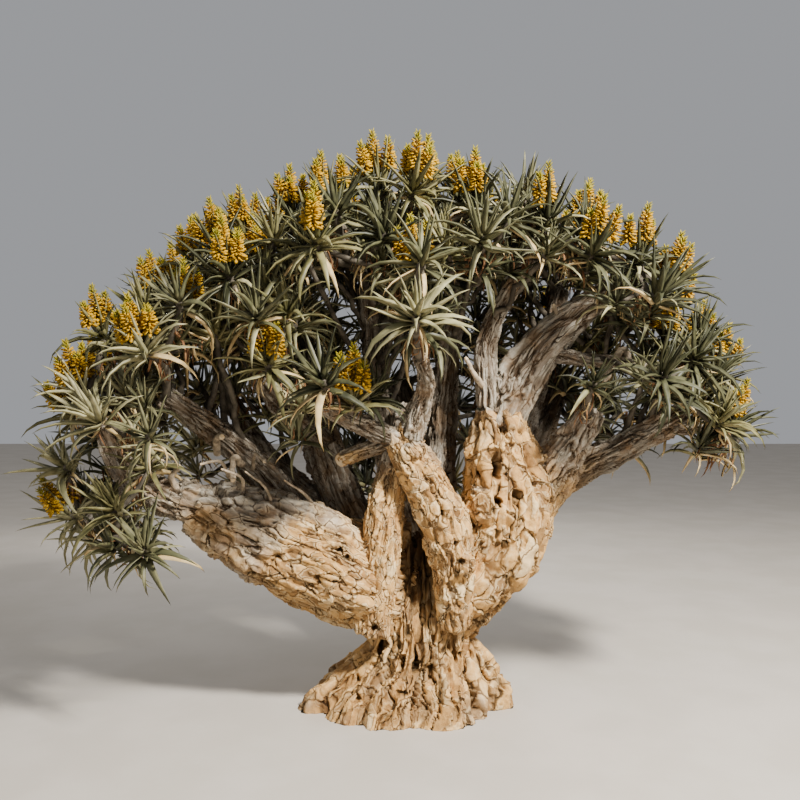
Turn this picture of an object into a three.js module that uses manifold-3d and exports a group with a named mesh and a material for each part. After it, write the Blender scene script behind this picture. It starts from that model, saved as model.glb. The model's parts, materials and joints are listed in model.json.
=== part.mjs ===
// Kokerboom, or quiver tree: a stout flared trunk, swollen forking boughs and a
// wide dome of pointed leaf rosettes with flower spikes.
// Millimetres, +Z up, -Y is the front and +X its right.
// The origin is the centre of the flat cut at ground level.
import * as THREE from "three";
import { mergeVertices } from "three/addons/utils/BufferGeometryUtils.js";
import Module from "manifold-3d";

const wasm = await Module();
wasm.setup();

// Fit between neighbours
const SEAT_GAP = 0.35;
const STEM_ROOM = 1.5;
const LEAF_CLEARANCE = 6;
const CELL_MARGIN = 1.5;
const BOX_MARGIN = 1;
const WELD_SNAP = 0.05;
const VERTEX_SNAP = 1e-5;

// Crown: the dome that the outermost rosettes stand on
const DOME_CENTRE = new THREE.Vector3(-40, 50, 1500);
const DOME_RADII = new THREE.Vector3(2300, 1600, 2000);
const CROWN_FLOOR = 1060;
const UP = new THREE.Vector3(0, 0, 1);
const ROSETTE_RISE = 0.35;
const SPIKE_RISE = 0.5;

// Leaf rosettes and flower spikes
const LEAF_LENGTH = 325;
const LEAF_LENGTH_SHARES = [0.9, 1.1];
const LEAF_TILTS = [-4, 15, 53].map(THREE.MathUtils.degToRad);
const LEAF_TILT_SPREADS = [5, 4, 13].map(THREE.MathUtils.degToRad);
const LEAF_TURN_SPREAD = THREE.MathUtils.degToRad(8);
const LEAF_TRIMS = [1, 0.88, 0.76, 0.64, 0.52];
const CORE_RADIUS = 86;
const CORE_SQUASH = 0.76;
const POLAR_FACE = 0.5;
const SIBLING_OVERLAP = 1.35;
const SPIKE_HEIGHT = 390;
const SPIKE_RADIUS = 62;
const SPIKE_STALK_RADIUS = 24;
const SPIKE_SWELL_AT = 0.6;

// Wood inside the foliage
const STEM_RADIUS = 31;
const TWIG_RADIUS = 17;
const TWIG_SINK = 14;
const STEM_SINK = 40;
const STEM_NARROWS = 0.8;
const STEM_TO_TIP = 0.62;
const SHARED_STEM_TO_TIP = 0.4;
const SHARED_STEM_ASIDE = 0.5;
const FORK_AT = 0.5;
const FORK_RISE = 20;
const SISTER_AWAY = [0.85, 1.2];
const SISTER_INWARD = [0.05, 0.35];
const ROOM_SIDES = 16;
const PLACE_TRIALS = 14;
const LIMB_SAMPLES = 16;
const RUN_SAMPLES = 10;
const LEAF_SAMPLES = 8;

// Trunk: half-widths and lean at rising levels
const TRUNK_SIDES = 28;
const TRUNK_FOLDS = 7;
const TRUNK_FINE_FOLDS = 12;
const TRUNK_LEVELS = [
  { z: 0, lean: -12, wide: 640, deep: 470, fold: 0.085 },
  { z: 105, lean: 14, wide: 590, deep: 438, fold: 0.1 },
  { z: 195, lean: 58, wide: 492, deep: 392, fold: 0.1 },
  { z: 270, lean: 80, wide: 418, deep: 360, fold: 0.09 },
  { z: 345, lean: 94, wide: 352, deep: 328, fold: 0.07 },
  { z: 425, lean: 104, wide: 305, deep: 305, fold: 0.05 },
  { z: 520, lean: 104, wide: 298, deep: 296, fold: 0.045 },
  { z: 650, lean: 104, wide: 290, deep: 286, fold: 0.045 },
  { z: 990, lean: 102, wide: 256, deep: 258, fold: 0.05 },
  { z: 1110, lean: 100, wide: 222, deep: 226, fold: 0.04 },
  { z: 1180, lean: 98, wide: 150, deep: 152, fold: 0.02 },
];
const TRUNK_CROWN_RISE = 25;

// Boughs: foot, bend and tip, with the radius at each
const END_BULGE = 0.4;
const LUMP_REACH = 1.7;
const BOUGHS = [
  { name: "bough_left_great", foot: [-60, -40, 690], bend: [-640, -160, 985], tip: [-1276, -280, 1275],
    radii: [255, 305, 140], sides: 12, rings: 7, lump: 0.05 },
  { name: "bough_left_outer", foot: [-1185, -262, 1232], bend: [-1600, -350, 1430], tip: [-1812, -436, 1830],
    radii: [122, 86, 58], sides: 8, rings: 6, lump: 0.05 },
  { name: "bough_left_low", foot: [-1560, -345, 1400], bend: [-1730, -330, 1325], tip: [-1850, -400, 1190],
    radii: [60, 48, 52], sides: 6, rings: 3, lump: 0.03 },
  { name: "bough_left_upper", foot: [-640, -20, 1130], bend: [-1010, -50, 1560], tip: [-1427, -370, 1938],
    radii: [112, 92, 64], sides: 8, rings: 5, lump: 0.05 },
  { name: "bough_right_great", foot: [240, -25, 570], bend: [600, -140, 1160], tip: [552, -195, 1870],
    radii: [205, 258, 124], sides: 12, rings: 7, lump: 0.05 },
  { name: "bough_front_left", foot: [-205, -225, 520], bend: [-146, -262, 1110], tip: [-16, -90, 1880],
    radii: [125, 108, 58], sides: 9, rings: 6, lump: 0.06 },
  { name: "bough_front_centre", foot: [298, -265, 560], bend: [248, -325, 1140], tip: [-50, -330, 1705],
    radii: [118, 156, 100], sides: 9, rings: 6, lump: 0.06 },
  { name: "bough_front_arm", foot: [-20, -335, 1660], bend: [-260, -440, 1775], tip: [-465, -750, 1890],
    radii: [60, 54, 38], sides: 6, rings: 4, lump: 0.03 },
  { name: "bough_front_post", foot: [0, -335, 1660], bend: [104, -470, 1990], tip: [68, -770, 2150],
    radii: [84, 56, 42], sides: 7, rings: 4, lump: 0.03 },
  { name: "bough_broken_stub", foot: [-90, -180, 1670], bend: [-210, -205, 1630], tip: [-396, -235, 1559],
    radii: [50, 46, 43], sides: 7, rings: 1, lump: 0.02 },
  { name: "bough_grey_limb", foot: [555, -185, 1760], bend: [805, -160, 2212], tip: [1290, -280, 2640],
    radii: [128, 122, 44], sides: 9, rings: 6, lump: 0.06 },
  { name: "bough_grey_upright", foot: [500, -215, 1880], bend: [490, -235, 2300], tip: [726, -350, 2760],
    radii: [76, 56, 36], sides: 7, rings: 4, lump: 0.04 },
  { name: "bough_grey_side", foot: [850, -175, 2210], bend: [1130, -245, 2160], tip: [1434, -380, 2121],
    radii: [50, 40, 28], sides: 6, rings: 3, lump: 0.03 },
  { name: "bough_right_mid", foot: [730, -100, 1180], bend: [965, -150, 1560], tip: [1110, -275, 1850],
    radii: [132, 126, 72], sides: 8, rings: 4, lump: 0.05 },
  { name: "bough_right_low", foot: [905, -60, 1400], bend: [1290, 0, 1578], tip: [1742, -60, 1826],
    radii: [108, 96, 68], sides: 8, rings: 4, lump: 0.05 },
  { name: "bough_right_fringe", foot: [1650, -50, 1775], bend: [1840, -110, 1750], tip: [2000, -220, 1690],
    radii: [54, 46, 36], sides: 6, rings: 2, lump: 0.03 },
  { name: "bough_back_left", foot: [-250, 120, 860], bend: [-520, 285, 1480], tip: [-700, 260, 2270],
    radii: [150, 124, 68], sides: 8, rings: 5, lump: 0.05 },
  { name: "bough_left_inner", foot: [-545, 260, 1650], bend: [-760, -40, 1850], tip: [-880, -380, 2060],
    radii: [80, 68, 58], sides: 7, rings: 4, lump: 0.04 },
  { name: "bough_back_left_low", foot: [-420, 190, 1120], bend: [-900, 450, 1450], tip: [-1240, 600, 1900],
    radii: [110, 92, 56], sides: 7, rings: 4, lump: 0.04 },
  { name: "bough_back_centre", foot: [80, 120, 960], bend: [90, 500, 1420], tip: [-40, 800, 2040],
    radii: [150, 124, 76], sides: 8, rings: 4, lump: 0.05 },
  { name: "bough_back_right", foot: [560, 20, 1250], bend: [870, 420, 1580], tip: [1120, 700, 2080],
    radii: [128, 106, 68], sides: 8, rings: 4, lump: 0.05 },
  { name: "bough_centre_left", foot: [50, 20, 1080], bend: [-170, 60, 1850], tip: [-240, -60, 2640],
    radii: [118, 84, 72], sides: 7, rings: 5, lump: 0.04 },
  { name: "bough_centre_right", foot: [170, 40, 1080], bend: [240, 110, 1850], tip: [320, 40, 2640],
    radii: [118, 84, 72], sides: 7, rings: 5, lump: 0.04 },
  { name: "bough_right_upright", foot: [620, -60, 1500], bend: [850, 130, 2050], tip: [1010, 120, 2640],
    radii: [110, 80, 48], sides: 7, rings: 4, lump: 0.04 },
];

// Foliage masses: the bough each grows from, where its leading rosette stands,
// how many rosettes it carries, how far apart they stand, and its flower spikes
const MASSES = [
  { name: "foliage_left_skirt_front", bough: "bough_left_low", lead: [-1650, -600, 1090], rosettes: 3, spread: 230, spikes: 0 },
  { name: "foliage_left_skirt_outer", bough: "bough_left_low", lead: [-2010, -300, 1210], rosettes: 4, spread: 300, spikes: 1 },
  { name: "foliage_left_fringe", bough: "bough_left_outer", lead: [-1860, -500, 1960], rosettes: 4, spread: 310, spikes: 1 },
  { name: "foliage_left_shoulder", bough: "bough_left_upper", lead: [-1444, -720, 2190], rosettes: 4, spread: 310, spikes: 1 },
  { name: "foliage_left_breast", bough: "bough_left_inner", lead: [-760, -720, 2110], rosettes: 3, spread: 260, spikes: 1 },
  { name: "foliage_left_crest_front", bough: "bough_left_inner", lead: [-987, -700, 2602], rosettes: 4, spread: 310, spikes: 2 },
  { name: "foliage_left_brow", bough: "bough_centre_left", lead: [-480, -900, 2740], rosettes: 4, spread: 310, spikes: 1 },
  { name: "foliage_top_front", bough: "bough_centre_left", lead: [30, -620, 3090], rosettes: 4, spread: 320, spikes: 2 },
  { name: "foliage_right_brow", bough: "bough_centre_right", lead: [390, -900, 2770], rosettes: 4, spread: 310, spikes: 0 },
  { name: "foliage_right_crest_front", bough: "bough_grey_upright", lead: [800, -520, 2950], rosettes: 4, spread: 310, spikes: 2 },
  { name: "foliage_right_shoulder", bough: "bough_grey_limb", lead: [1330, -520, 2720], rosettes: 4, spread: 310, spikes: 1 },
  { name: "foliage_right_breast", bough: "bough_grey_side", lead: [1610, -620, 2150], rosettes: 3, spread: 280, spikes: 0 },
  { name: "foliage_right_fringe", bough: "bough_right_low", lead: [1950, -60, 2090], rosettes: 4, spread: 300, spikes: 2 },
  { name: "foliage_right_skirt", bough: "bough_right_fringe", lead: [1930, -330, 1740], rosettes: 3, spread: 230, spikes: 0 },
  { name: "foliage_front_low", bough: "bough_front_arm", lead: [-430, -1090, 2010], rosettes: 3, spread: 240, spikes: 1 },
  { name: "foliage_front_middle", bough: "bough_front_post", lead: [40, -1170, 2330], rosettes: 4, spread: 290, spikes: 0 },
  { name: "foliage_right_tuft", bough: "bough_right_mid", lead: [1060, -540, 2010], rosettes: 2, spread: 200, spikes: 0 },
  { name: "foliage_left_high", bough: "bough_left_upper", lead: [-1540, -120, 2540], rosettes: 4, spread: 320, spikes: 2 },
  { name: "foliage_left_far", bough: "bough_left_outer", lead: [-1990, 120, 2060], rosettes: 4, spread: 320, spikes: 1 },
  { name: "foliage_left_crest", bough: "bough_back_left", lead: [-1020, -60, 2950], rosettes: 4, spread: 320, spikes: 2 },
  { name: "foliage_top_left", bough: "bough_centre_left", lead: [-420, 60, 3180], rosettes: 4, spread: 320, spikes: 2 },
  { name: "foliage_top_right", bough: "bough_centre_right", lead: [330, 40, 3200], rosettes: 4, spread: 330, spikes: 2 },
  { name: "foliage_right_crest", bough: "bough_right_upright", lead: [1060, 90, 2900], rosettes: 4, spread: 320, spikes: 2 },
  { name: "foliage_right_high", bough: "bough_grey_limb", lead: [1640, -60, 2480], rosettes: 4, spread: 310, spikes: 1 },
  { name: "foliage_back_left_low", bough: "bough_back_left_low", lead: [-1450, 750, 1950], rosettes: 4, spread: 340, spikes: 0 },
  { name: "foliage_back_left_high", bough: "bough_back_left", lead: [-1130, 680, 2580], rosettes: 4, spread: 340, spikes: 1 },
  { name: "foliage_back_centre_left", bough: "bough_back_centre", lead: [-560, 1180, 2240], rosettes: 4, spread: 350, spikes: 1 },
  { name: "foliage_back_centre_right", bough: "bough_back_centre", lead: [320, 1240, 2280], rosettes: 4, spread: 350, spikes: 0 },
  { name: "foliage_back_right_high", bough: "bough_back_right", lead: [1060, 860, 2500], rosettes: 4, spread: 340, spikes: 1 },
  { name: "foliage_back_right_low", bough: "bough_back_right", lead: [1500, 760, 1960], rosettes: 4, spread: 340, spikes: 0 },
  { name: "foliage_back_top", bough: "bough_centre_right", lead: [0, 770, 2900], rosettes: 4, spread: 350, spikes: 1 },
  { name: "foliage_back_skirt", bough: "bough_back_centre", lead: [-60, 1300, 1700], rosettes: 4, spread: 340, spikes: 0 },
];

// A small repeatable source of fractions between 0 and 1
class Dice {
  constructor(seed) {
    this.state = (seed * 2654435761) >>> 0;
  }
  roll() {
    this.state = (Math.imul(this.state, 1664525) + 1013904223) >>> 0;
    return this.state / 4294967296;
  }
  between(low, high) {
    return low + (high - low) * this.roll();
  }
}

function vector(values) {
  return new THREE.Vector3(...values);
}

// Turns a closed geometry into a solid, dropping faces that have no area
function toSolid(geometry) {
  const merged = mergeVertices(geometry, VERTEX_SNAP);
  const index = merged.index.array;
  const faces = [];
  for (let i = 0; i < index.length; i += 3) {
    const [a, b, c] = [index[i], index[i + 1], index[i + 2]];
    if (a !== b && b !== c && c !== a) faces.push(a, b, c);
  }
  return new wasm.Manifold(new wasm.Mesh({
    numProp: 3,
    vertProperties: new Float32Array(merged.attributes.position.array),
    triVerts: new Uint32Array(faces),
  }));
}

function bare(geometry) {
  geometry.deleteAttribute("normal");
  geometry.deleteAttribute("uv");
  return mergeVertices(geometry, VERTEX_SNAP);
}

// The largest single body of a solid, with its hollows filled
function mainBody(solid) {
  const bodies = solid.simplify(WELD_SNAP).decompose().filter((body) => body.volume() > 0);
  return bodies.reduce((best, body) => (body.volume() > best.volume() ? body : best));
}

// Trunk with root flare, folded sides and a flat cut at the ground
function trunkSolid(grow = 0) {
  const rings = TRUNK_LEVELS.length - 1;
  const geometry = bare(new THREE.CylinderGeometry(1, 1, 1, TRUNK_SIDES, rings));
  const place = geometry.attributes.position;
  for (let i = 0; i < place.count; i += 1) {
    const [x, y, z] = [place.getX(i), place.getY(i), place.getZ(i)];
    const level = TRUNK_LEVELS[Math.round((y + 0.5) * rings)];
    const turn = Math.atan2(-z, x);
    const onSide = Math.hypot(x, z) > 0.5;
    const fold = 1 + level.fold * (0.6 * Math.cos(TRUNK_FOLDS * turn + 0.9 + level.z / 900)
      + 0.4 * Math.cos(TRUNK_FINE_FOLDS * turn + 2.2 - level.z / 500));
    let height = level.z;
    if (y > 0.49) height += grow + (onSide ? 0 : TRUNK_CROWN_RISE);
    if (y < -0.49) height -= grow;
    place.setXYZ(i,
      level.lean + (onSide ? Math.cos(turn) * (level.wide * fold + grow) : 0),
      onSide ? Math.sin(turn) * (level.deep * fold + grow) : 0,
      height);
  }
  return toSolid(geometry);
}

// A tapering round limb along a curve, a little uneven, with blunt ends
function limbSolid(limb, grow = 0) {
  const { curve, radiusAt, sides, rings, lump, phase } = limb;
  const geometry = bare(new THREE.CylinderGeometry(1, 1, 1, sides, rings));
  const frames = curve.computeFrenetFrames(rings, false);
  const place = geometry.attributes.position;
  for (let i = 0; i < place.count; i += 1) {
    const [x, y, z] = [place.getX(i), place.getY(i), place.getZ(i)];
    const along = y + 0.5;
    const ring = Math.round(along * rings);
    const turn = Math.atan2(z, x);
    const onSide = Math.hypot(x, z) > 0.5;
    const radius = radiusAt(along);
    const uneven = 1 + lump * (Math.sin(2 * turn + phase + 5 * along) + 0.7 * Math.sin(3 * turn - phase + 9 * along));
    const reach = onSide ? radius * uneven + grow : 0;
    const point = curve.getPointAt(along);
    point.addScaledVector(frames.normals[ring], reach * Math.cos(turn));
    point.addScaledVector(frames.binormals[ring], -reach * Math.sin(turn));
    const end = ring === 0 ? -1 : ring === rings ? 1 : 0;
    point.addScaledVector(frames.tangents[ring], end * (grow + (onSide ? 0 : END_BULGE * radius)));
    place.setXYZ(i, point.x, point.y, point.z);
  }
  return toSolid(geometry);
}

// Smooth radius through the foot, the bend and the tip
function radiusThrough([foot, bend, tip]) {
  return (t) => foot * (1 - t) * (1 - 2 * t) + bend * 4 * t * (1 - t) + tip * t * (2 * t - 1);
}

function makeLimb(plan, index) {
  const curve = new THREE.CatmullRomCurve3([plan.foot, plan.bend, plan.tip].map(vector), false, "centripetal");
  return { ...plan, curve, phase: 1.7 * index, radiusAt: radiusThrough(plan.radii) };
}

// Unit direction pointing straight out of the dome at a place
function outwardAt(point) {
  return point.clone().sub(DOME_CENTRE).divide(DOME_RADII).divide(DOME_RADII).normalize();
}

// Two directions square to an axis
function squareTo(axis) {
  const guide = Math.abs(axis.z) > 0.9 ? new THREE.Vector3(1, 0, 0) : new THREE.Vector3(0, 0, 1);
  const side = guide.clone().cross(axis).normalize();
  return [side, axis.clone().cross(side).normalize()];
}

// Where the rosettes of every mass stand: the leading one as named, each further
// one at the roomiest of several places tried around it
function placeRosettes() {
  const taken = MASSES.map((plan) => vector(plan.lead));
  return MASSES.map((plan, index) => {
    const dice = new Dice(index + 12);
    const lead = taken[index];
    const outward = outwardAt(lead);
    const [side, rise] = squareTo(outward);
    const centres = [lead];
    for (let k = 1; k < plan.rosettes; k += 1) {
      let best = null;
      let most = 2 * CORE_RADIUS + LEAF_CLEARANCE;
      for (let trial = 0; trial < PLACE_TRIALS; trial += 1) {
        const turn = dice.between(0, 2 * Math.PI);
        const away = plan.spread * dice.between(...SISTER_AWAY);
        const place = lead.clone()
          .addScaledVector(side, away * Math.cos(turn))
          .addScaledVector(rise, away * Math.sin(turn))
          .addScaledVector(outward, -plan.spread * dice.between(...SISTER_INWARD));
        if (place.z < CROWN_FLOOR) continue;
        const room = Math.min(
          ...taken.map((other) => other.distanceTo(place)),
          ...woodBlobs.map((blob) => blob.at.distanceTo(place) - blob.radius + CORE_RADIUS));
        if (room > most) [best, most] = [place, room];
      }
      if (best) {
        centres.push(best);
        taken.push(best);
      }
    }
    return centres.map((centre) => ({ centre, turn: dice.between(0, 2 * Math.PI) }));
  });
}

// A straight tapering round space around a stem, for cutting its neighbours clear
function stemRoom(layout) {
  const heading = layout.fork.clone().sub(layout.from).normalize();
  const from = layout.from.clone().addScaledVector(heading, -STEM_SINK);
  const to = layout.fork.clone().addScaledVector(heading, STEM_ROOM);
  const slack = 1 / Math.cos(Math.PI / ROOM_SIDES);
  const axis = to.clone().sub(from);
  const geometry = bare(new THREE.CylinderGeometry((STEM_NARROWS * layout.stemRadius + STEM_ROOM) * slack,
    (layout.stemRadius + STEM_ROOM) * slack, axis.length(), ROOM_SIDES, 1));
  geometry.applyQuaternion(new THREE.Quaternion().setFromUnitVectors(new THREE.Vector3(0, 1, 0), axis.normalize()));
  const middle = from.clone().add(to).multiplyScalar(0.5);
  geometry.translate(middle.x, middle.y, middle.z);
  return toSolid(geometry);
}

// Shortest distance between two straight pieces
function segmentDistance(a, b, c, d) {
  let best = Infinity;
  for (let i = 0; i <= RUN_SAMPLES; i += 1) {
    const point = a.clone().lerp(b, i / RUN_SAMPLES);
    const span = d.clone().sub(c);
    const t = THREE.MathUtils.clamp(point.clone().sub(c).dot(span) / span.lengthSq(), 0, 1);
    best = Math.min(best, point.distanceTo(c.clone().addScaledVector(span, t)));
  }
  return best;
}

const limbs = new Map(BOUGHS.map((plan, index) => [plan.name, makeLimb(plan, index)]));
const trunkBlobs = TRUNK_LEVELS.map((level) => ({
  at: new THREE.Vector3(level.lean, 0, level.z), radius: level.wide * (1 + level.fold),
}));
const limbBlobs = [...limbs.values()].flatMap((limb) => {
  return Array.from({ length: LIMB_SAMPLES + 1 }, (_, i) => ({
    at: limb.curve.getPointAt(i / LIMB_SAMPLES),
    radius: limb.radiusAt(i / LIMB_SAMPLES) * (1 + LUMP_REACH * limb.lump),
  }));
});
const woodBlobs = [...trunkBlobs, ...limbBlobs];

// Where a stem leaves its bough. Stems that share a tip start on their own sides of it
function stemStart(plan, bough) {
  const tip = bough.curve.getPointAt(1);
  const tipRadius = bough.radii[2];
  const towards = (mass) => vector(mass.lead).sub(tip).normalize();
  const heading = towards(plan);
  const sharing = MASSES.filter((mass) => mass.bough === plan.bough);
  if (sharing.length === 1) return { from: tip, heading, stemRadius: Math.min(STEM_RADIUS, STEM_TO_TIP * tipRadius) };
  const mean = sharing.reduce((sum, mass) => sum.add(towards(mass)), new THREE.Vector3()).divideScalar(sharing.length);
  const along = bough.curve.getTangentAt(1);
  const aside = heading.clone().sub(mean);
  aside.addScaledVector(along, -aside.dot(along)).normalize();
  return {
    from: tip.addScaledVector(aside, SHARED_STEM_ASIDE * tipRadius),
    heading,
    stemRadius: Math.min(STEM_RADIUS, SHARED_STEM_TO_TIP * tipRadius),
  };
}

// Layout of every mass before any solid is made, so that each keeps to its own space
const places = placeRosettes();
const layouts = MASSES.map((plan, index) => {
  const bough = limbs.get(plan.bough);
  const rosettes = places[index];
  const { from, heading, stemRadius } = stemStart(plan, bough);
  const middle = rosettes.reduce((sum, r) => sum.add(r.centre), new THREE.Vector3()).divideScalar(rosettes.length);
  const fork = from.clone().lerp(middle, FORK_AT).addScaledVector(heading, FORK_RISE);
  for (const rosette of rosettes) {
    rosette.axis = outwardAt(rosette.centre).addScaledVector(UP, ROSETTE_RISE).normalize()
      .add(rosette.centre.clone().sub(fork).normalize()).normalize();
  }
  return { plan, index, bough, rosettes, from, fork, stemRadius };
});
const runsOf = (layout) => [
  { owner: layout.index, from: layout.from, to: layout.fork, radius: layout.stemRadius },
  ...layout.rosettes.map((rosette) => ({
    owner: layout.index, from: layout.fork, to: rosette.centre, radius: TWIG_RADIUS,
  })),
];

// A further rosette is left out where another mass's wood would cross its core, or
// where its own twig would cross another mass or a limb
for (const layout of layouts) {
  const others = layouts.filter((other) => other !== layout);
  layout.rosettes = layout.rosettes.filter((rosette, k) => {
    if (k === 0) return true;
    const { centre } = rosette;
    const coreFree = others.every((other) => runsOf(other).every(
      (run) => segmentDistance(centre, centre, run.from, run.to) > CORE_RADIUS + run.radius + LEAF_CLEARANCE));
    const twigFree = others.every((other) => other.rosettes.every(
      (far) => segmentDistance(far.centre, far.centre, layout.fork, centre) > CORE_RADIUS + TWIG_RADIUS + LEAF_CLEARANCE)
      && runsOf(other).every((run) => other.bough === layout.bough
        || segmentDistance(layout.fork, centre, run.from, run.to) > TWIG_RADIUS + run.radius + LEAF_CLEARANCE));
    return coreFree && twigFree && clearOfLimbs(layout.fork, centre, TWIG_RADIUS);
  });
}
const woodRuns = layouts.flatMap(runsOf);

function clearOfLimbs(from, to, halfWidth) {
  return Array.from({ length: LEAF_SAMPLES }, (_, i) => (i + 1) / LEAF_SAMPLES).every((along) => {
    const point = from.clone().lerp(to, along);
    const need = halfWidth * (1 - 0.8 * along) + LEAF_CLEARANCE;
    return woodBlobs.every((blob) => point.distanceTo(blob.at) >= blob.radius + need);
  });
}

// A leaf stays on its own side of the plane midway to every rosette of other
// masses, and crosses only a little towards its sister rosettes
function keepsOwnSpace(owner, home, points) {
  return layouts.every((layout) => layout.rosettes.every((other) => {
    const gap = other.centre.clone().sub(home);
    const distance = gap.length();
    if (distance < 1) return true;
    const half = layout.index === owner ? (SIBLING_OVERLAP * distance) / 2 : distance / 2 - CELL_MARGIN;
    gap.divideScalar(distance);
    return points.every((point) => point.clone().sub(home).dot(gap) < half);
  }));
}

function clearOfWood(owner, from, to, halfWidth) {
  return clearOfLimbs(from, to, halfWidth) && woodRuns.every((run) => run.owner === owner
    || segmentDistance(from, to, run.from, run.to) > run.radius + 0.7 * halfWidth + LEAF_CLEARANCE);
}

// One rosette: a squashed core with a pointed leaf raised from each of its upper
// and middle faces, and its foot drawn out into the twig that it stands on.
// A flowering rosette has its top drawn out into the spike
function rosetteSolid(layout, rosette, dice) {
  const geometry = new THREE.IcosahedronGeometry(1, 0);
  const place = geometry.attributes.position;
  const corner = (i) => new THREE.Vector3().fromBufferAttribute(place, i);
  const { axis, centre } = rosette;
  const toAxis = new THREE.Quaternion().setFromUnitVectors(corner(0).normalize(), axis)
    .premultiply(new THREE.Quaternion().setFromAxisAngle(axis, rosette.turn));
  const points = [];
  for (let face = 0; face < place.count; face += 3) {
    let ways = [0, 1, 2].map((k) => corner(face + k).applyQuaternion(toAxis));
    const polar = ways.findIndex((way) => Math.abs(way.dot(axis)) > 0.9);
    if (polar >= 0) ways = [1, 2, 3].map((k) => ways[(polar + k) % 3]);
    const rim = ways.map((way) => way.clone().multiplyScalar(CORE_RADIUS)
      .addScaledVector(axis, (CORE_SQUASH - 1) * CORE_RADIUS * way.dot(axis)).add(centre));
    const middle = ways[0].clone().add(ways[1]).add(ways[2]).normalize();
    const height = middle.dot(axis);
    if (height < -POLAR_FACE) points.push(...drawnOut(axis, ways, rim, rosette.twig));
    else if (height > POLAR_FACE && rosette.spike) points.push(...drawnOut(axis, ways, rim, rosette.spike));
    else {
      const tip = leafTip(layout, rosette, dice, middle, height, rim);
      if (tip) points.push(rim[0], rim[1], tip, rim[1], rim[2], tip, rim[2], rim[0], tip);
      else points.push(...rim);
    }
  }
  return toSolid(new THREE.BufferGeometry().setFromPoints(points));
}

// One side of a tube drawn out of the core: from a core edge through each ring to
// the end point. A ring has a centre, a radius and a heading
function drawnOut(axis, ways, rim, tube) {
  const points = [];
  let edge = [rim[0], rim[1]];
  for (const ring of tube.rings) {
    const bend = new THREE.Quaternion().setFromUnitVectors(axis, ring.heading);
    const next = [ways[0], ways[1]].map((way) => way.clone().addScaledVector(axis, -way.dot(axis)).normalize()
      .applyQuaternion(bend).multiplyScalar(ring.radius).add(ring.centre));
    points.push(edge[0], edge[1], next[1], edge[0], next[1], next[0]);
    edge = next;
  }
  points.push(edge[0], edge[1], tube.end);
  return points;
}

// Where the leaf over one core face ends, or nothing where no length of it fits
function leafTip(layout, rosette, dice, middle, height, rim) {
  const tier = height < 0 ? 0 : height < POLAR_FACE ? 1 : 2;
  const tilt = LEAF_TILTS[tier] + dice.between(-1, 1) * LEAF_TILT_SPREADS[tier];
  const flat = middle.clone().addScaledVector(rosette.axis, -height).normalize()
    .applyAxisAngle(rosette.axis, dice.between(-1, 1) * LEAF_TURN_SPREAD);
  const aim = flat.multiplyScalar(Math.cos(tilt)).addScaledVector(rosette.axis, Math.sin(tilt));
  const full = LEAF_LENGTH * dice.between(...LEAF_LENGTH_SHARES);
  for (const trim of LEAF_TRIMS) {
    const tip = rosette.centre.clone().addScaledVector(aim, full * trim);
    if (keepsOwnSpace(layout.index, rosette.centre, [tip, ...rim])
      && clearOfWood(layout.index, rosette.centre, tip, CORE_RADIUS / 2)) return tip;
  }
  return null;
}

// The twig below a rosette; the leading rosette's runs on down into the bough
function twigPlan(layout, rosette, leads) {
  const heading = rosette.centre.clone().sub(layout.fork).normalize();
  const neck = rosette.centre.clone().addScaledVector(heading, -CORE_RADIUS);
  const rings = [{ centre: neck, radius: TWIG_RADIUS, heading }];
  if (!leads) {
    rings.push({ centre: layout.fork, radius: TWIG_RADIUS, heading });
    return { rings, end: layout.fork.clone().addScaledVector(heading, -TWIG_SINK) };
  }
  const stemHeading = layout.fork.clone().sub(layout.from).normalize();
  const between = heading.clone().add(stemHeading).normalize();
  rings.push({ centre: layout.fork, radius: STEM_NARROWS * layout.stemRadius, heading: between });
  rings.push({ centre: layout.from, radius: layout.stemRadius, heading: stemHeading });
  return { rings, end: layout.from.clone().addScaledVector(stemHeading, -STEM_SINK) };
}

// The flower spike above a rosette, or nothing where it would leave the mass's space
function spikePlan(layout, rosette) {
  const heading = rosette.axis.clone().addScaledVector(UP, SPIKE_RISE).normalize();
  const along = (share) => rosette.centre.clone().addScaledVector(heading, share * SPIKE_HEIGHT);
  const swell = along(SPIKE_SWELL_AT);
  const rim = squareTo(heading).flatMap((way) => [-1, 1].map(
    (sign) => swell.clone().addScaledVector(way, sign * SPIKE_RADIUS)));
  if (!keepsOwnSpace(layout.index, rosette.centre, [along(1), ...rim])
    || !clearOfWood(layout.index, rosette.centre, along(1), SPIKE_RADIUS)) return null;
  return {
    rings: [
      { centre: rosette.centre.clone().addScaledVector(rosette.axis, CORE_RADIUS), radius: SPIKE_STALK_RADIUS, heading },
      { centre: swell, radius: SPIKE_RADIUS, heading },
    ],
    end: along(1),
  };
}

function massSolid(layout) {
  const dice = new Dice(layout.index + 101);
  return wasm.Manifold.union(layout.rosettes.map((rosette, k) => rosetteSolid(layout, {
    ...rosette,
    twig: twigPlan(layout, rosette, k === 0),
    spike: k < layout.plan.spikes ? spikePlan(layout, rosette) : null,
  }, dice)));
}

function boxesMeet(a, b) {
  const [p, q] = [a.boundingBox(), b.boundingBox()];
  return [0, 1, 2].every((i) => p.min[i] <= q.max[i] + BOX_MARGIN && q.min[i] <= p.max[i] + BOX_MARGIN);
}

function cutBy(solid, cutters) {
  const near = cutters.filter((cutter) => boxesMeet(solid, cutter));
  return near.length ? solid.subtract(wasm.Manifold.union(near)) : solid;
}

const MATERIALS = {
  bark: { color: 0xb98a58, roughness: 0.9, metalness: 0 },
  grey_wood: { color: 0x9a9082, roughness: 0.9, metalness: 0 },
  foliage: { color: 0x7c8566, roughness: 0.7, metalness: 0 },
};

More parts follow.
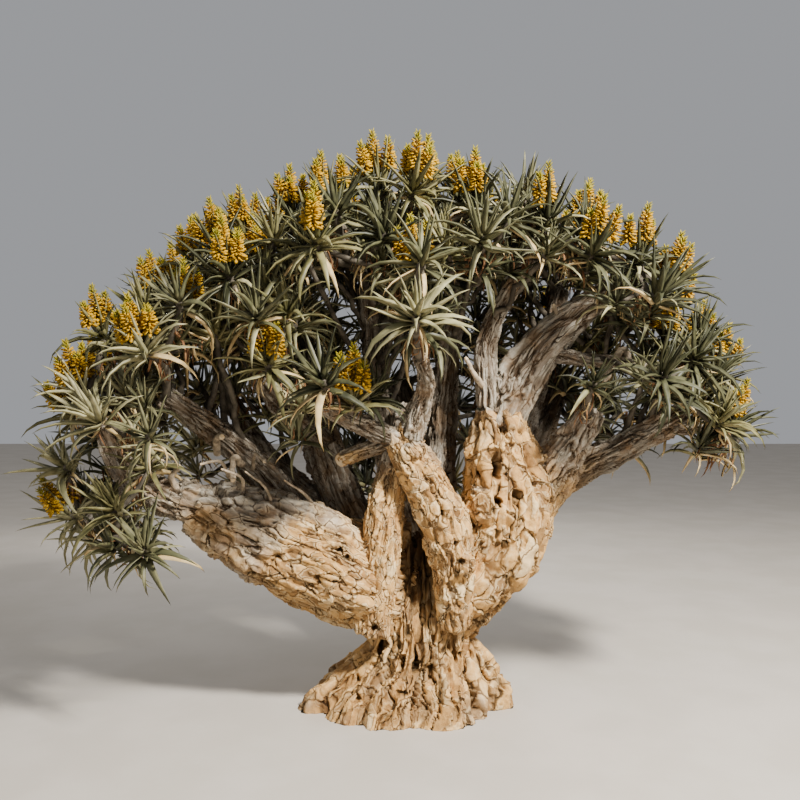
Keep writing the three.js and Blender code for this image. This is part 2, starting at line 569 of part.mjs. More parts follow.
function addPart(group, name, solid, finish) {
  const mesh = solid.getMesh();
  const geometry = new THREE.BufferGeometry();
  geometry.setAttribute("position", new THREE.BufferAttribute(new Float32Array(mesh.vertProperties), 3));
  geometry.setIndex(new THREE.BufferAttribute(new Uint32Array(mesh.triVerts), 1));
  geometry.computeVertexNormals();
  const part = new THREE.Mesh(geometry, new THREE.MeshStandardMaterial(MATERIALS[finish]));
  part.name = name;
  group.add(part);
}

const tree = new THREE.Group();
tree.name = "kokerboom_tree";

const cutters = [trunkSolid(SEAT_GAP)];
addPart(tree, "trunk", mainBody(trunkSolid()), "bark");
for (const limb of limbs.values()) {
  const body = mainBody(cutBy(limbSolid(limb), cutters));
  addPart(tree, limb.name, body, limb.name.includes("grey") ? "grey_wood" : "bark");
  cutters.push(limbSolid(limb, SEAT_GAP));
}

const stemCutters = [];
for (const layout of layouts) {
  const body = mainBody(cutBy(massSolid(layout), [...cutters, ...stemCutters]));
  addPart(tree, layout.plan.name, body, "foliage");
  stemCutters.push(stemRoom(layout));
}

export default tree;
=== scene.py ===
"""Kokerboom, or quiver tree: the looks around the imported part.

Metres, +Z up, -Y is the front and +X its right. The origin is the centre of the flat
cut at ground level. Limbs and rosettes stand where the solids have them, by the same
seeded rule, and the rule is carried on to finer twigs.
"""

import json
import logging
import math
from collections.abc import Callable, Sequence
from dataclasses import dataclass, field
from enum import Enum

import bpy
import numpy as np
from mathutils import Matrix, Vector
from numpy.linalg import norm

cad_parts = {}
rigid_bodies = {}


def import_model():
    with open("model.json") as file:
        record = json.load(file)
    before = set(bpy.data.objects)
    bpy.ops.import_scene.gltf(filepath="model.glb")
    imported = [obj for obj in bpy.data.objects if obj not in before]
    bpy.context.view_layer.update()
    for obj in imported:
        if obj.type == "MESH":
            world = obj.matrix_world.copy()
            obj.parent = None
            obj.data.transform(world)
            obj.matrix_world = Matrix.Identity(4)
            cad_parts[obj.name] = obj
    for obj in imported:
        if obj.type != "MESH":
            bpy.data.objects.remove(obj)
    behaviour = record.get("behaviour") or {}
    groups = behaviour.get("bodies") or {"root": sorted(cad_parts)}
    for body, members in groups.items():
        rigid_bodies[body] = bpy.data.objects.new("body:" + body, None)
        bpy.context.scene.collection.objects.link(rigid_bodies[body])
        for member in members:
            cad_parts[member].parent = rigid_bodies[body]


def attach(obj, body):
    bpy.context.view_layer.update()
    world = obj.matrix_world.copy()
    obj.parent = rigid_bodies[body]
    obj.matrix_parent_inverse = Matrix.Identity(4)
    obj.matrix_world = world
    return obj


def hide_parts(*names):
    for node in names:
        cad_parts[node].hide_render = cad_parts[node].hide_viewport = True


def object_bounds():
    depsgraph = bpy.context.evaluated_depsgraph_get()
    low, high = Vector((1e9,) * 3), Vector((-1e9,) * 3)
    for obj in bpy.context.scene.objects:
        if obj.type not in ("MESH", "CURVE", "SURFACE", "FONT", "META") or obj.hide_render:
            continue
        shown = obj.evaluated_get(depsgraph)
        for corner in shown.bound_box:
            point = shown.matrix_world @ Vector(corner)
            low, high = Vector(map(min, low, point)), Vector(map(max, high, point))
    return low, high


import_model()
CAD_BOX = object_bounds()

Array = np.ndarray
Triple = tuple[float, float, float]
Span = tuple[float, float]
Shell = tuple[Array, list[tuple[int, ...]]]
Socket = bpy.types.NodeSocket
Item = bpy.types.Object
LOG = logging.getLogger("kokerboom")
BODY = "root"
VIEW_FROM = np.array([-.041, -5.1, 1.92])
GOLDEN_TURN = math.radians(137.508)
UP = np.array([0.0, 0.0, 1.0])


class Bark(Enum):
    """The bark pieces, each a closed skin over some of the limbs."""

    TRUNK = "bark_trunk"
    LEFT = "bark_left_boughs"
    RIGHT = "bark_right_boughs"
    FRONT = "bark_front_boughs"
    GREY = "bark_grey_boughs"
    INNER = "bark_inner_boughs"


class LeafShape(Enum):
    """Leaf shapes, numbered in the order in which they are instanced."""

    HEART = 0
    SPREAD = 1
    SPREAD_TWISTED = 2
    ARCHING = 3
    ARCHING_TWISTED = 4
    HANGING = 5
    CURLED = 6


class FloretShape(Enum):
    """Floret shapes, numbered in the order in which they are instanced."""

    FLOWER = 0
    BUD = 1


class Tint(Enum):
    """The leaf colours that are dealt out by spray, some of them also as painted light and painted shade."""

    SAGE = "leaves_sage"
    OLIVE = "leaves_olive"
    # Dull dark leaves, dealt out also as painted shade on the crown's right and inside it
    DUSTY = "leaves_dusty"
    # Pale leaves, dealt out also as painted light on the crown's left
    PALE = "leaves_pale"
    STRAW = "leaves_straw"
    RUSSET = "leaves_russet"


TINT_NUMBERS = {tint: number for number, tint in enumerate(Tint)}


def unit(vectors: Array) -> Array:
    """A vector, or one in each row, scaled to length one."""
    return vectors / np.maximum(norm(vectors, axis=-1, keepdims=True), 1e-12)


def smooth_step(values: Array, low: float, high: float) -> Array:
    """Eased rise from 0 at low to 1 at high."""
    share = np.clip((values - low) / (high - low), 0.0, 1.0)
    return share * share * (3.0 - 2.0 * share)


def square_to(axis: Array) -> tuple[Array, Array]:
    """Two directions square to a unit axis and to each other: the side and the rise."""
    side = unit(np.cross((1.0, 0.0, 0.0) if abs(axis[2]) > 0.9 else UP, axis))
    return side, unit(np.cross(axis, side))


def around(count: int) -> Array:
    """Even turns round a circle."""
    return np.arange(count) * 2 * math.pi / count


def fan(axis: Array, turn: Array) -> Array:
    """Directions square to an axis, one for each turn round it."""
    side, rise = square_to(axis)
    return np.cos(turn)[:, None] * side + np.sin(turn)[:, None] * rise


def opened(axis: Array, radial: Array, polar: Array) -> Array:
    """Directions that open out from an axis by given angles."""
    return np.cos(polar)[:, None] * axis + np.sin(polar)[:, None] * radial


def colour(red: int, green: int, blue: int) -> tuple[float, float, float, float]:
    """A screen colour as the linear colour that shaders take.

    Args:
        red: Red from 0 to 255.
        green: Green from 0 to 255.
        blue: Blue from 0 to 255.

    Returns:
        Linear red, green, blue and an opacity of 1.
    """
    def linear(value: int) -> float:
        """One channel, from screen to linear."""
        share = value / 255
        return share / 12.92 if share <= 0.04045 else ((share + 0.055) / 1.055) ** 2.4

    return linear(red), linear(green), linear(blue), 1.0


class Dice:
    """A small repeatable source of fractions, the one that the solids use."""

    def __init__(self, seed: int) -> None:
        """Starts the sequence that belongs to a seed."""
        self.state = (seed * 2654435761) & 0xFFFFFFFF

    def roll(self) -> float:
        """The next fraction between 0 and 1."""
        self.state = (self.state * 1664525 + 1013904223) & 0xFFFFFFFF
        return self.state / 4294967296

    def between(self, low: float, high: float) -> float:
        """The next number between two limits."""
        return low + (high - low) * self.roll()


class LimbCurve:
    """A smooth curve through a limb's foot, bend and tip."""

    DIVISIONS = 200
    STEP = 1e-4

    def __init__(self, foot: Triple, bend: Triple, tip: Triple) -> None:
        """Lays the curve out and measures its length.

        Args:
            foot: Where it starts.
            bend: The point that it passes through on its way.
            tip: Where it ends.
        """
        foot, bend, tip = (np.array(p, float) for p in (foot, bend, tip))
        self.knots = [2 * foot - bend, foot, bend, tip, 2 * tip - bend]
        self.shares = np.linspace(0, 1, self.DIVISIONS + 1)
        steps = norm(np.diff(self.at(self.shares), axis=0), axis=1)
        self.lengths = np.concatenate([[0.0], np.cumsum(steps)])

    def at(self, shares: Array) -> Array:
        """Points on the curve by its own, uneven, share.

        Args:
            shares: Shares from 0 to 1.

        Returns:
            One point for each share.
        """
        shares = np.clip(np.atleast_1d(shares), 0, 1)
        points = np.empty((len(shares), 3))
        for half in (0, 1):
            inside = (shares < 0.5) if half == 0 else (shares >= 0.5)
            p0, p1, p2, p3 = self.knots[half:half + 4]
            gaps = [norm(b - a) ** 0.5 for a, b in ((p0, p1), (p1, p2), (p2, p3))]
            leave = (p1 - p0) / gaps[0] - (p2 - p0) / (gaps[0] + gaps[1]) + (p2 - p1) / gaps[1]
            arrive = (p2 - p1) / gaps[1] - (p3 - p1) / (gaps[1] + gaps[2]) + (p3 - p2) / gaps[2]
            leave, arrive = leave * gaps[1], arrive * gaps[1]
            t = (2 * shares[inside] - half)[:, None]
            points[inside] = (p1 + leave * t + (3 * (p2 - p1) - 2 * leave - arrive) * t ** 2
                              + (2 * (p1 - p2) + leave + arrive) * t ** 3)
        return points

    def even(self, shares: Array) -> Array:
        """The curve's own shares that lie at even shares of its length."""
        return np.interp(np.atleast_1d(shares) * self.lengths[-1], self.lengths, self.shares)

    def rings(self, shares: Array) -> tuple[Array, Array, Array, Array]:
        """Points along the curve, each with a frame that doesn't spin.

        Args:
            shares: Shares of the length from 0 to 1, rising.

        Returns:
            The points, tangents, normals and binormals.
        """
        own = self.even(shares)
        points = self.at(own)
        tangents = unit(self.at(np.clip(own + self.STEP, 0, 1)) - self.at(np.clip(own - self.STEP, 0, 1)))
        guide = np.zeros(3)
        guide[2 - int(np.argmin(np.abs(tangents[0])[::-1]))] = 1.0
        normals = np.empty_like(tangents)
        normals[0] = np.cross(tangents[0], unit(np.cross(tangents[0], guide)))
        for i in range(1, len(tangents)):
            normals[i] = unit(normals[i - 1] - tangents[i] * (normals[i - 1] @ tangents[i]))
        return points, tangents, normals, np.cross(tangents, normals)


@dataclass
class Limb:
    """One bough: its run, its thickness and how its bark has aged.

    The order of the limbs matters, because it sets the phase of each one's lumps.
    """

    name: str
    foot: Triple
    bend: Triple
    tip: Triple
    radii: Triple
    lump: float
    piece: Bark
    grey_foot: float
    grey_tip: float
    greys: Span = (.0, 1.)
    slim: float = 1.0
    flake: float = 1.0
    phase: float = 0.0
    curve: LimbCurve = field(init=False)

    RING_STEP = 0.022
    SIDES = 44
    END_BULGE = 0.4

    def __post_init__(self) -> None:
        """Lays out the limb's curve."""
        self.curve = LimbCurve(self.foot, self.bend, self.tip)

    def radius_at(self, shares: Array) -> Array:
        """The limb's radius at shares of its length."""
        t, (foot, bend, tip) = np.asarray(shares, float), self.radii
        return foot * (1 - t) * (1 - 2 * t) + bend * 4 * t * (1 - t) + tip * t * (2 * t - 1)

    def tube(self) -> Shell:
        """The limb as a closed tube.

        Returns:
            Its vertices and faces.
        """
        count = max(8, int(self.curve.lengths[-1] / self.RING_STEP))
        along = np.linspace(0, 1, count + 1)
        centres, tangents, normals, binormals = self.curve.rings(along)
        turn = around(self.SIDES)
        uneven = 1 + self.lump * (np.sin(2 * turn + self.phase + 5 * along[:, None])
                                  + 0.7 * np.sin(3 * turn - self.phase + 9 * along[:, None]))
        reach = self.radius_at(along)[:, None] * uneven * self.slim
        ends = (centres[0] - tangents[0] * self.END_BULGE * self.radii[0],
                centres[-1] + tangents[-1] * self.END_BULGE * self.radii[2])
        return closed_tube(centres, normals, binormals, reach, turn, ends)


def closed_tube(centres: Array, normals: Array, binormals: Array, reach: Array, turn: Array,
                ends: tuple[Array, Array]) -> Shell:
    """A closed tube of rings.

    Args:
        centres: The ring centres.
        normals: One direction in each ring's plane.
        binormals: The direction square to it.
        reach: The distance of each ring's points from its centre.
        turn: The angle of each point round the ring.
        ends: The points that close the two ends.

    Returns:
        The vertices and the faces, pointing outwards.
    """
    rings, sides = reach.shape
    points = (centres[:, None] + normals[:, None] * (reach * np.cos(turn))[..., None]
              - binormals[:, None] * (reach * np.sin(turn))[..., None])
    vertices = np.concatenate([points.reshape(-1, 3), np.array(ends)])
    here = np.arange(rings * sides).reshape(rings, sides)
    after = np.roll(here, -1, axis=1)
    walls = np.stack([here[:-1], here[1:], after[1:], after[:-1]], axis=2).reshape(-1, 4)
    foot, tip = np.full(sides, rings * sides), np.full(sides, rings * sides + 1)
    caps = np.stack([foot, here[0], after[0], tip, after[-1], here[-1]], axis=1).reshape(-1, 3)
    return vertices, [tuple(face) for face in walls.tolist() + caps.tolist()]


# Boughs: foot, bend and tip, the radius at each, unevenness, bark piece, how grey the bark is at
# the foot and at the tip, and then where it turns grey, how slim it is and how large its flakes are
LIMB_ROWS = [
    ("left_great", (-.06, -.04, .69), (-.64, -.16, .985), (-1.276, -.28, 1.275),
     (.255, .305, .14), .05, Bark.LEFT, .0, .5, (.48, .62)),
    ("left_outer", (-1.185, -.262, 1.232), (-1.6, -.35, 1.43), (-1.812, -.436, 1.83),
     (.122, .086, .058), .05, Bark.LEFT, .5, .8),
    ("left_low", (-1.56, -.345, 1.4), (-1.73, -.33, 1.325), (-1.85, -.4, 1.19),
     (.06, .048, .052), .03, Bark.LEFT, .7, .8),
    ("left_upper", (-.64, -.02, 1.13), (-1.01, -.05, 1.56), (-1.427, -.37, 1.938),
     (.112, .092, .064), .05, Bark.LEFT, .75, .9),
    ("right_great", (.24, -.025, .57), (.6, -.14, 1.16), (.552, -.195, 1.87),
     (.205, .258, .124), .05, Bark.RIGHT, .0, .35, (.0, 1.), 1., 1.35),
    ("front_left", (-.205, -.225, .52), (-.146, -.262, 1.11), (-.016, -.09, 1.88),
     (.125, .108, .058), .06, Bark.FRONT, .0, .8, (.3, 1.), .93, 1.2),
    ("front_centre", (.298, -.265, .56), (.248, -.325, 1.14), (-.05, -.33, 1.705),
     (.118, .156, .1), .06, Bark.FRONT, .0, .4, (.6, 1.), .86, 1.3),
    ("front_arm", (-.02, -.335, 1.66), (-.26, -.44, 1.775), (-.465, -.75, 1.89),
     (.06, .054, .038), .03, Bark.FRONT, .75, .9),
    ("front_post", (0, -.335, 1.66), (.104, -.47, 1.99), (.068, -.77, 2.15),
     (.084, .056, .042), .03, Bark.FRONT, .8, .9),
    ("broken_stub", (-.09, -.18, 1.67), (-.21, -.205, 1.63), (-.396, -.235, 1.559),
     (.05, .046, .043), .02, Bark.FRONT, .5, .4),
    ("grey_limb", (.555, -.185, 1.76), (.805, -.16, 2.212), (1.29, -.28, 2.64),
     (.128, .122, .044), .06, Bark.GREY, .7, 1., (.0, 1.), 1., 1.6),
    ("grey_upright", (.5, -.215, 1.88), (.49, -.235, 2.3), (.726, -.35, 2.76),
     (.076, .056, .036), .04, Bark.GREY, .8, 1., (.0, 1.), 1., 1.5),
    ("grey_side", (.85, -.175, 2.21), (1.13, -.245, 2.16), (1.434, -.38, 2.121),
     (.05, .04, .028), .03, Bark.GREY, .9, 1.),
    ("right_mid", (.73, -.1, 1.18), (.965, -.15, 1.56), (1.11, -.275, 1.85),
     (.132, .126, .072), .05, Bark.RIGHT, .4, .8),
    ("right_low", (.905, -.06, 1.4), (1.29, 0, 1.578), (1.742, -.06, 1.826),
     (.108, .096, .068), .05, Bark.RIGHT, .6, .9),
    ("right_fringe", (1.65, -.05, 1.775), (1.84, -.11, 1.75), (2., -.22, 1.69),
     (.054, .046, .036), .03, Bark.RIGHT, .8, .9),
    ("back_left", (-.25, .12, .86), (-.52, .285, 1.48), (-.7, .26, 2.27),
     (.15, .124, .068), .05, Bark.INNER, .7, .95),
    ("left_inner", (-.545, .26, 1.65), (-.76, -.04, 1.85), (-.88, -.38, 2.06),
     (.08, .068, .058), .04, Bark.INNER, .8, .9),
    ("back_left_low", (-.42, .19, 1.12), (-.9, .45, 1.45), (-1.24, .6, 1.9),
     (.11, .092, .056), .04, Bark.INNER, .75, .95),
    ("back_centre", (.08, .12, .96), (.09, .5, 1.42), (-.04, .8, 2.04),
     (.15, .124, .076), .05, Bark.INNER, .3, .9),
    ("back_right", (.56, .02, 1.25), (.87, .42, 1.58), (1.12, .7, 2.08),
     (.128, .106, .068), .05, Bark.INNER, .3, .9),
    ("centre_left", (.05, .02, 1.08), (-.17, .06, 1.85), (-.24, -.06, 2.64),
     (.118, .084, .072), .04, Bark.INNER, .8, .95),
    ("centre_right", (.17, .04, 1.08), (.24, .11, 1.85), (.32, .04, 2.64),
     (.118, .084, .072), .04, Bark.INNER, .8, .95),
    ("right_upright", (.62, -.06, 1.5), (.85, .13, 2.05), (1.01, .12, 2.64),
     (.11, .08, .048), .04, Bark.INNER, .6, .9),
]
PHASE_STEP = 1.7
LIMBS = [Limb("bough_" + name, *row, phase=PHASE_STEP * k) for k, (name, *row) in enumerate(LIMB_ROWS)]


# The trunk at rising heights: height, lean, half-widths across and in depth, and depth of fold
TRUNK_LEVELS = np.array([
    (0, -.012, .64, .47, .085), (.105, .014, .59, .438, .1), (.195, .058, .492, .392, .1),
    (.27, .08, .418, .36, .09), (.345, .094, .352, .328, .07), (.425, .104, .305, .305, .05),
    (.52, .104, .298, .296, .045), (.65, .104, .29, .286, .045), (.99, .102, .256, .258, .05),
    (1.11, .1, .222, .226, .04), (1.18, .098, .15, .152, .02)])
TRUNK_TOP = float(TRUNK_LEVELS[-1, 0])


def limb_named(name: str) -> Limb:
    """The limb with a given name."""
    return next(limb for limb in LIMBS if limb.name == name)


@dataclass(frozen=True)
class Trunk:
    """The trunk: folded sides, a flaring foot and a flat cut at the ground."""

    folds: int = 7
    fine_folds: int = 12
    crown_rise: float = .025
    sunk: float = .05
    sides: int = 200
    ring_step: float = .014
    valleys: tuple[float, ...] = (-151, -121, -99, -73, -47, -21, 10, 41, 74, 103, 137, 171)
    valley_depth: float = .085
    valley_width: float = 4.6

    def section(self, z: Array) -> list[Array]:
        """The lean, both half-widths and the depth of fold at heights above the ground."""
        return [np.interp(z, TRUNK_LEVELS[:, 0], column) for column in TRUNK_LEVELS.T[1:]]

    def grooves(self, turn: Array, height: Array) -> Array:
        """How deep the valleys between the root folds are.

        Args:
            turn: Angles round the trunk.
            height: Heights above the ground, as a column.

        Returns:
            Depths in metres.
        """
        depth = np.zeros((len(height), len(turn)))
        for k, valley in enumerate(self.valleys):
            centre = math.radians(valley) + .1 * np.sin(height * 6 + 2.1 * k) + .05 * np.sin(height * 17 + k)
            gap = np.abs((turn - centre + math.pi) % (2 * math.pi) - math.pi)
            share = .62 + .38 * math.sin(1.7 * k) + .2 * np.sin(height * 13 + 3.3 * k)
            depth += share * np.exp(-(gap / math.radians(self.valley_width)) ** 1.6)
        return self.valley_depth * depth * (1 - .6 * smooth_step(height, .34, .7))

    def tube(self) -> Shell:
        """The trunk as a closed tube that runs on below the cut.

        Returns:
            Its vertices and faces.
        """
        z = np.linspace(-self.sunk, TRUNK_TOP, int(TRUNK_TOP / self.ring_step))
        lean, wide, deep, fold = (values[:, None] for values in self.section(z))
        turn = around(self.sides)
        height = np.maximum(z, 0)[:, None]
        folded = 1 + fold * (0.6 * np.cos(self.folds * turn + 0.9 + height / 0.9)
                             + 0.4 * np.cos(self.fine_folds * turn + 2.2 - height / 0.5))
        centres = np.column_stack([lean[:, 0], np.zeros_like(z), z])
        across = np.tile([1.0, 0.0, 0.0], (len(z), 1))
        inward = np.tile([0.0, -1.0, 0.0], (len(z), 1))
        reach = wide * folded - self.grooves(turn, height)
        vertices, faces = closed_tube(centres, across, inward, reach, turn,
                                      (centres[0], centres[-1] + self.crown_rise * UP))
        rings = vertices[:-2].reshape(len(z), self.sides, 3)
        rings[:, :, 1] *= deep / wide
        return vertices, [face[::-1] for face in faces]


TRUNK = Trunk()


@dataclass(frozen=True)
class Knot:
    """A knob or hump that swells out of a limb."""

    at: Triple
    half: Triple
    rings: int = 11
    sides: int = 16

    def ball(self) -> Shell:
        """The knot as a closed ball.

        Returns:
            Its vertices and faces.
        """
        polar = np.linspace(0, math.pi, self.rings + 2)[1:-1]
        turn = around(self.sides)
        centres = np.column_stack([0 * polar, 0 * polar, -np.cos(polar)])
        across, inward = (np.tile(way, (self.rings, 1)) for way in ([1.0, 0, 0], [0, -1.0, 0]))
        reach = np.tile(np.sin(polar)[:, None], (1, self.sides))
        vertices, faces = closed_tube(centres, across, inward, reach, turn, (-UP, UP))
        return np.array(self.at) + vertices * np.array(self.half), [face[::-1] for face in faces]


@dataclass(frozen=True)
class Hollow:
    """A recess pressed into the bark from the front: its place, size, depth and how strong the painted shade
    in it is.
    """

    right: float
    high: float
    half_wide: float
    half_high: float
    depth: float
    painted_shade: float = 1.0


KNOTS = {piece: [Knot(*row) for row in rows] for piece, rows in (
    (Bark.FRONT, (((.338, -.43, .953), (.062, .06, .07)), ((.03, -.4, 1.62), (.075, .06, .06)))),
    (Bark.LEFT, (((-.92, -.28, 1.21), (.12, .1, .09)), ((-1.3, -.3, 1.36), (.085, .08, .08)))),
    (Bark.RIGHT, (((.82, -.24, 1.36), (.07, .07, .075)), ((.47, -.3, 1.28), (.1, .1, .13)),
                  ((.64, -.27, .9), (.08, .07, .1)))),
    (Bark.GREY, (((.62, -.24, 1.98), (.1, .09, .12)),)))}
# Hollows pressed into each bark piece from the front, each darkened with painted shade: how far right and how
# high, half-width, half-height, depth, and the strength of its painted shade
HOLLOWS = {piece: [Hollow(*row) for row in rows] for piece, rows in (
    (Bark.TRUNK, (
        (-.041, .355, .026, .042, .1), (-.16, .41, .01, .1, .05), (.05, .36, .009, .1, .05),
        (.155, .31, .03, .034, .07, .9), (.33, .37, .02, .022, .05), (-.03, .19, .04, .016, .04, .7),
        (-.3, .17, .022, .07, .06, .7), (.0, .52, .008, .05, .03), (.3, .16, .012, .09, .04, .7),
        (.24, .52, .014, .08, .05, .8), (.1, .94, .17, .38, .13, .9))),
    (Bark.LEFT, (
        (.08, .85, .15, .34, .16, .92), (-.531, 1.156, .013, .014, .05), (-.39, 1.05, .013, .014, .045),
        (-.35, 1.0, .012, .013, .04), (-.75, 1.02, .05, .03, .05, .5))),
    (Bark.RIGHT, (
        (.08, .92, .15, .42, .14, .92), (.511, 1.51, .045, .085, .12, .8), (.577, 1.77, .026, .045, .1),
        (.44, 1.49, .022, .05, .08), (.541, 1.296, .022, .045, .08), (.642, 1.094, .018, .014, .05),
        (.74, 1.12, .026, .03, .05), (.66, 1.33, .03, .06, .04, .5), (.53, 1.13, .02, .08, .04, .5))),
    (Bark.FRONT, ((.2, 1.27, .02, .05, .04), (.31, .98, .02, .03, .05), (-.2, .565, .032, .03, .06))))}


@dataclass(frozen=True)
class MassPlan:
    """One foliage mass: its bough, its leading rosette, and how many more it has."""

    name: str
    bough: str
    lead: Triple
    rosettes: int
    spread: float
    spikes: int


MASSES = [MassPlan("foliage_" + name, "bough_" + bough, *row) for name, bough, *row in (
    ("left_skirt_front", "left_low", (-1.65, -.6, 1.09), 3, .23, 0),
    ("left_skirt_outer", "left_low", (-2.01, -.3, 1.21), 4, .3, 1),
    ("left_fringe", "left_outer", (-1.86, -.5, 1.96), 4, .31, 1),
    ("left_shoulder", "left_upper", (-1.444, -.72, 2.19), 4, .31, 1),
    ("left_breast", "left_inner", (-.76, -.72, 2.11), 3, .26, 1),
    ("left_crest_front", "left_inner", (-.987, -.7, 2.602), 4, .31, 2),
    ("left_brow", "centre_left", (-.48, -.9, 2.74), 4, .31, 1),
    ("top_front", "centre_left", (.03, -.62, 3.09), 4, .32, 2),
    ("right_brow", "centre_right", (.39, -.9, 2.77), 4, .31, 0),
    ("right_crest_front", "grey_upright", (.8, -.52, 2.95), 4, .31, 2),
    ("right_shoulder", "grey_limb", (1.33, -.52, 2.72), 4, .31, 1),
    ("right_breast", "grey_side", (1.61, -.62, 2.15), 3, .28, 0),
    ("right_fringe", "right_low", (1.95, -.06, 2.09), 4, .3, 2),
    ("right_skirt", "right_fringe", (1.93, -.33, 1.74), 3, .23, 0),
    ("front_low", "front_arm", (-.43, -1.09, 2.01), 3, .24, 1),
    ("front_middle", "front_post", (.04, -1.17, 2.33), 4, .29, 0),
    ("right_tuft", "right_mid", (1.06, -.54, 2.01), 2, .2, 0),
    ("left_high", "left_upper", (-1.54, -.12, 2.54), 4, .32, 2),
    ("left_far", "left_outer", (-1.99, .12, 2.06), 4, .32, 1),
    ("left_crest", "back_left", (-1.02, -.06, 2.95), 4, .32, 2),
    ("top_left", "centre_left", (-.42, .06, 3.18), 4, .32, 2),
    ("top_right", "centre_right", (.33, .04, 3.2), 4, .33, 2),
    ("right_crest", "right_upright", (1.06, .09, 2.9), 4, .32, 2),
    ("right_high", "grey_limb", (1.64, -.06, 2.48), 4, .31, 1),
    ("back_left_low", "back_left_low", (-1.45, .75, 1.95), 4, .34, 0),
    ("back_left_high", "back_left", (-1.13, .68, 2.58), 4, .34, 1),
    ("back_centre_left", "back_centre", (-.56, 1.18, 2.24), 4, .35, 1),
    ("back_centre_right", "back_centre", (.32, 1.24, 2.28), 4, .35, 0),
    ("back_right_high", "back_right", (1.06, .86, 2.5), 4, .34, 1),
    ("back_right_low", "back_right", (1.5, .76, 1.96), 4, .34, 0),
    ("back_top", "centre_right", (0, .77, 2.9), 4, .35, 1),
    ("back_skirt", "back_centre", (-.06, 1.3, 1.7), 4, .34, 0),
)]


@dataclass
class Rosette:
    """One leaf rosette: where it stands, which way it faces and where its twig starts."""

    centre: Array
    turn: float
    axis: Array | None = None
    twig_from: Array | None = None
    twig_heading: Array | None = None
    size: float = 1.0
    leaves: int = 30
    rank: int = 0
    flowers: bool = False
    tint: Tint = Tint.SAGE


@dataclass
class MassLayout:
    """A foliage mass laid out: its stem, its fork and its rosettes."""

    plan: MassPlan
    index: int
    rosettes: list[Rosette]
    start: Array
    heading: Array
    fork: Array
    stem_radius: float

    def runs(self) -> list[tuple[Array, Array, float]]:
        """The stem and twigs of the rule's own rosettes, as straight runs."""
        twigs = [(self.fork, r.centre, CrownRule.twig_radius) for r in self.rosettes if r.rank == 0]
        return [(self.start, self.fork, self.stem_radius), *twigs]


def run_distance(a: Array, b: Array, c: Array, d: Array, samples: int = 10) -> float:
    """Shortest distance between two straight runs.

    Args:
        a: Start of the first run.
        b: End of the first run.
        c: Start of the second run.
        d: End of the second run.
        samples: How many steps the first run is measured in.

    Returns:
        The distance.
    """
    points = a + (b - a) * np.linspace(0, 1, samples + 1)[:, None]
    span = d - c
    share = np.clip((points - c) @ span / (span @ span), 0, 1)
    return float(norm(points - (c + share[:, None] * span), axis=1).min())


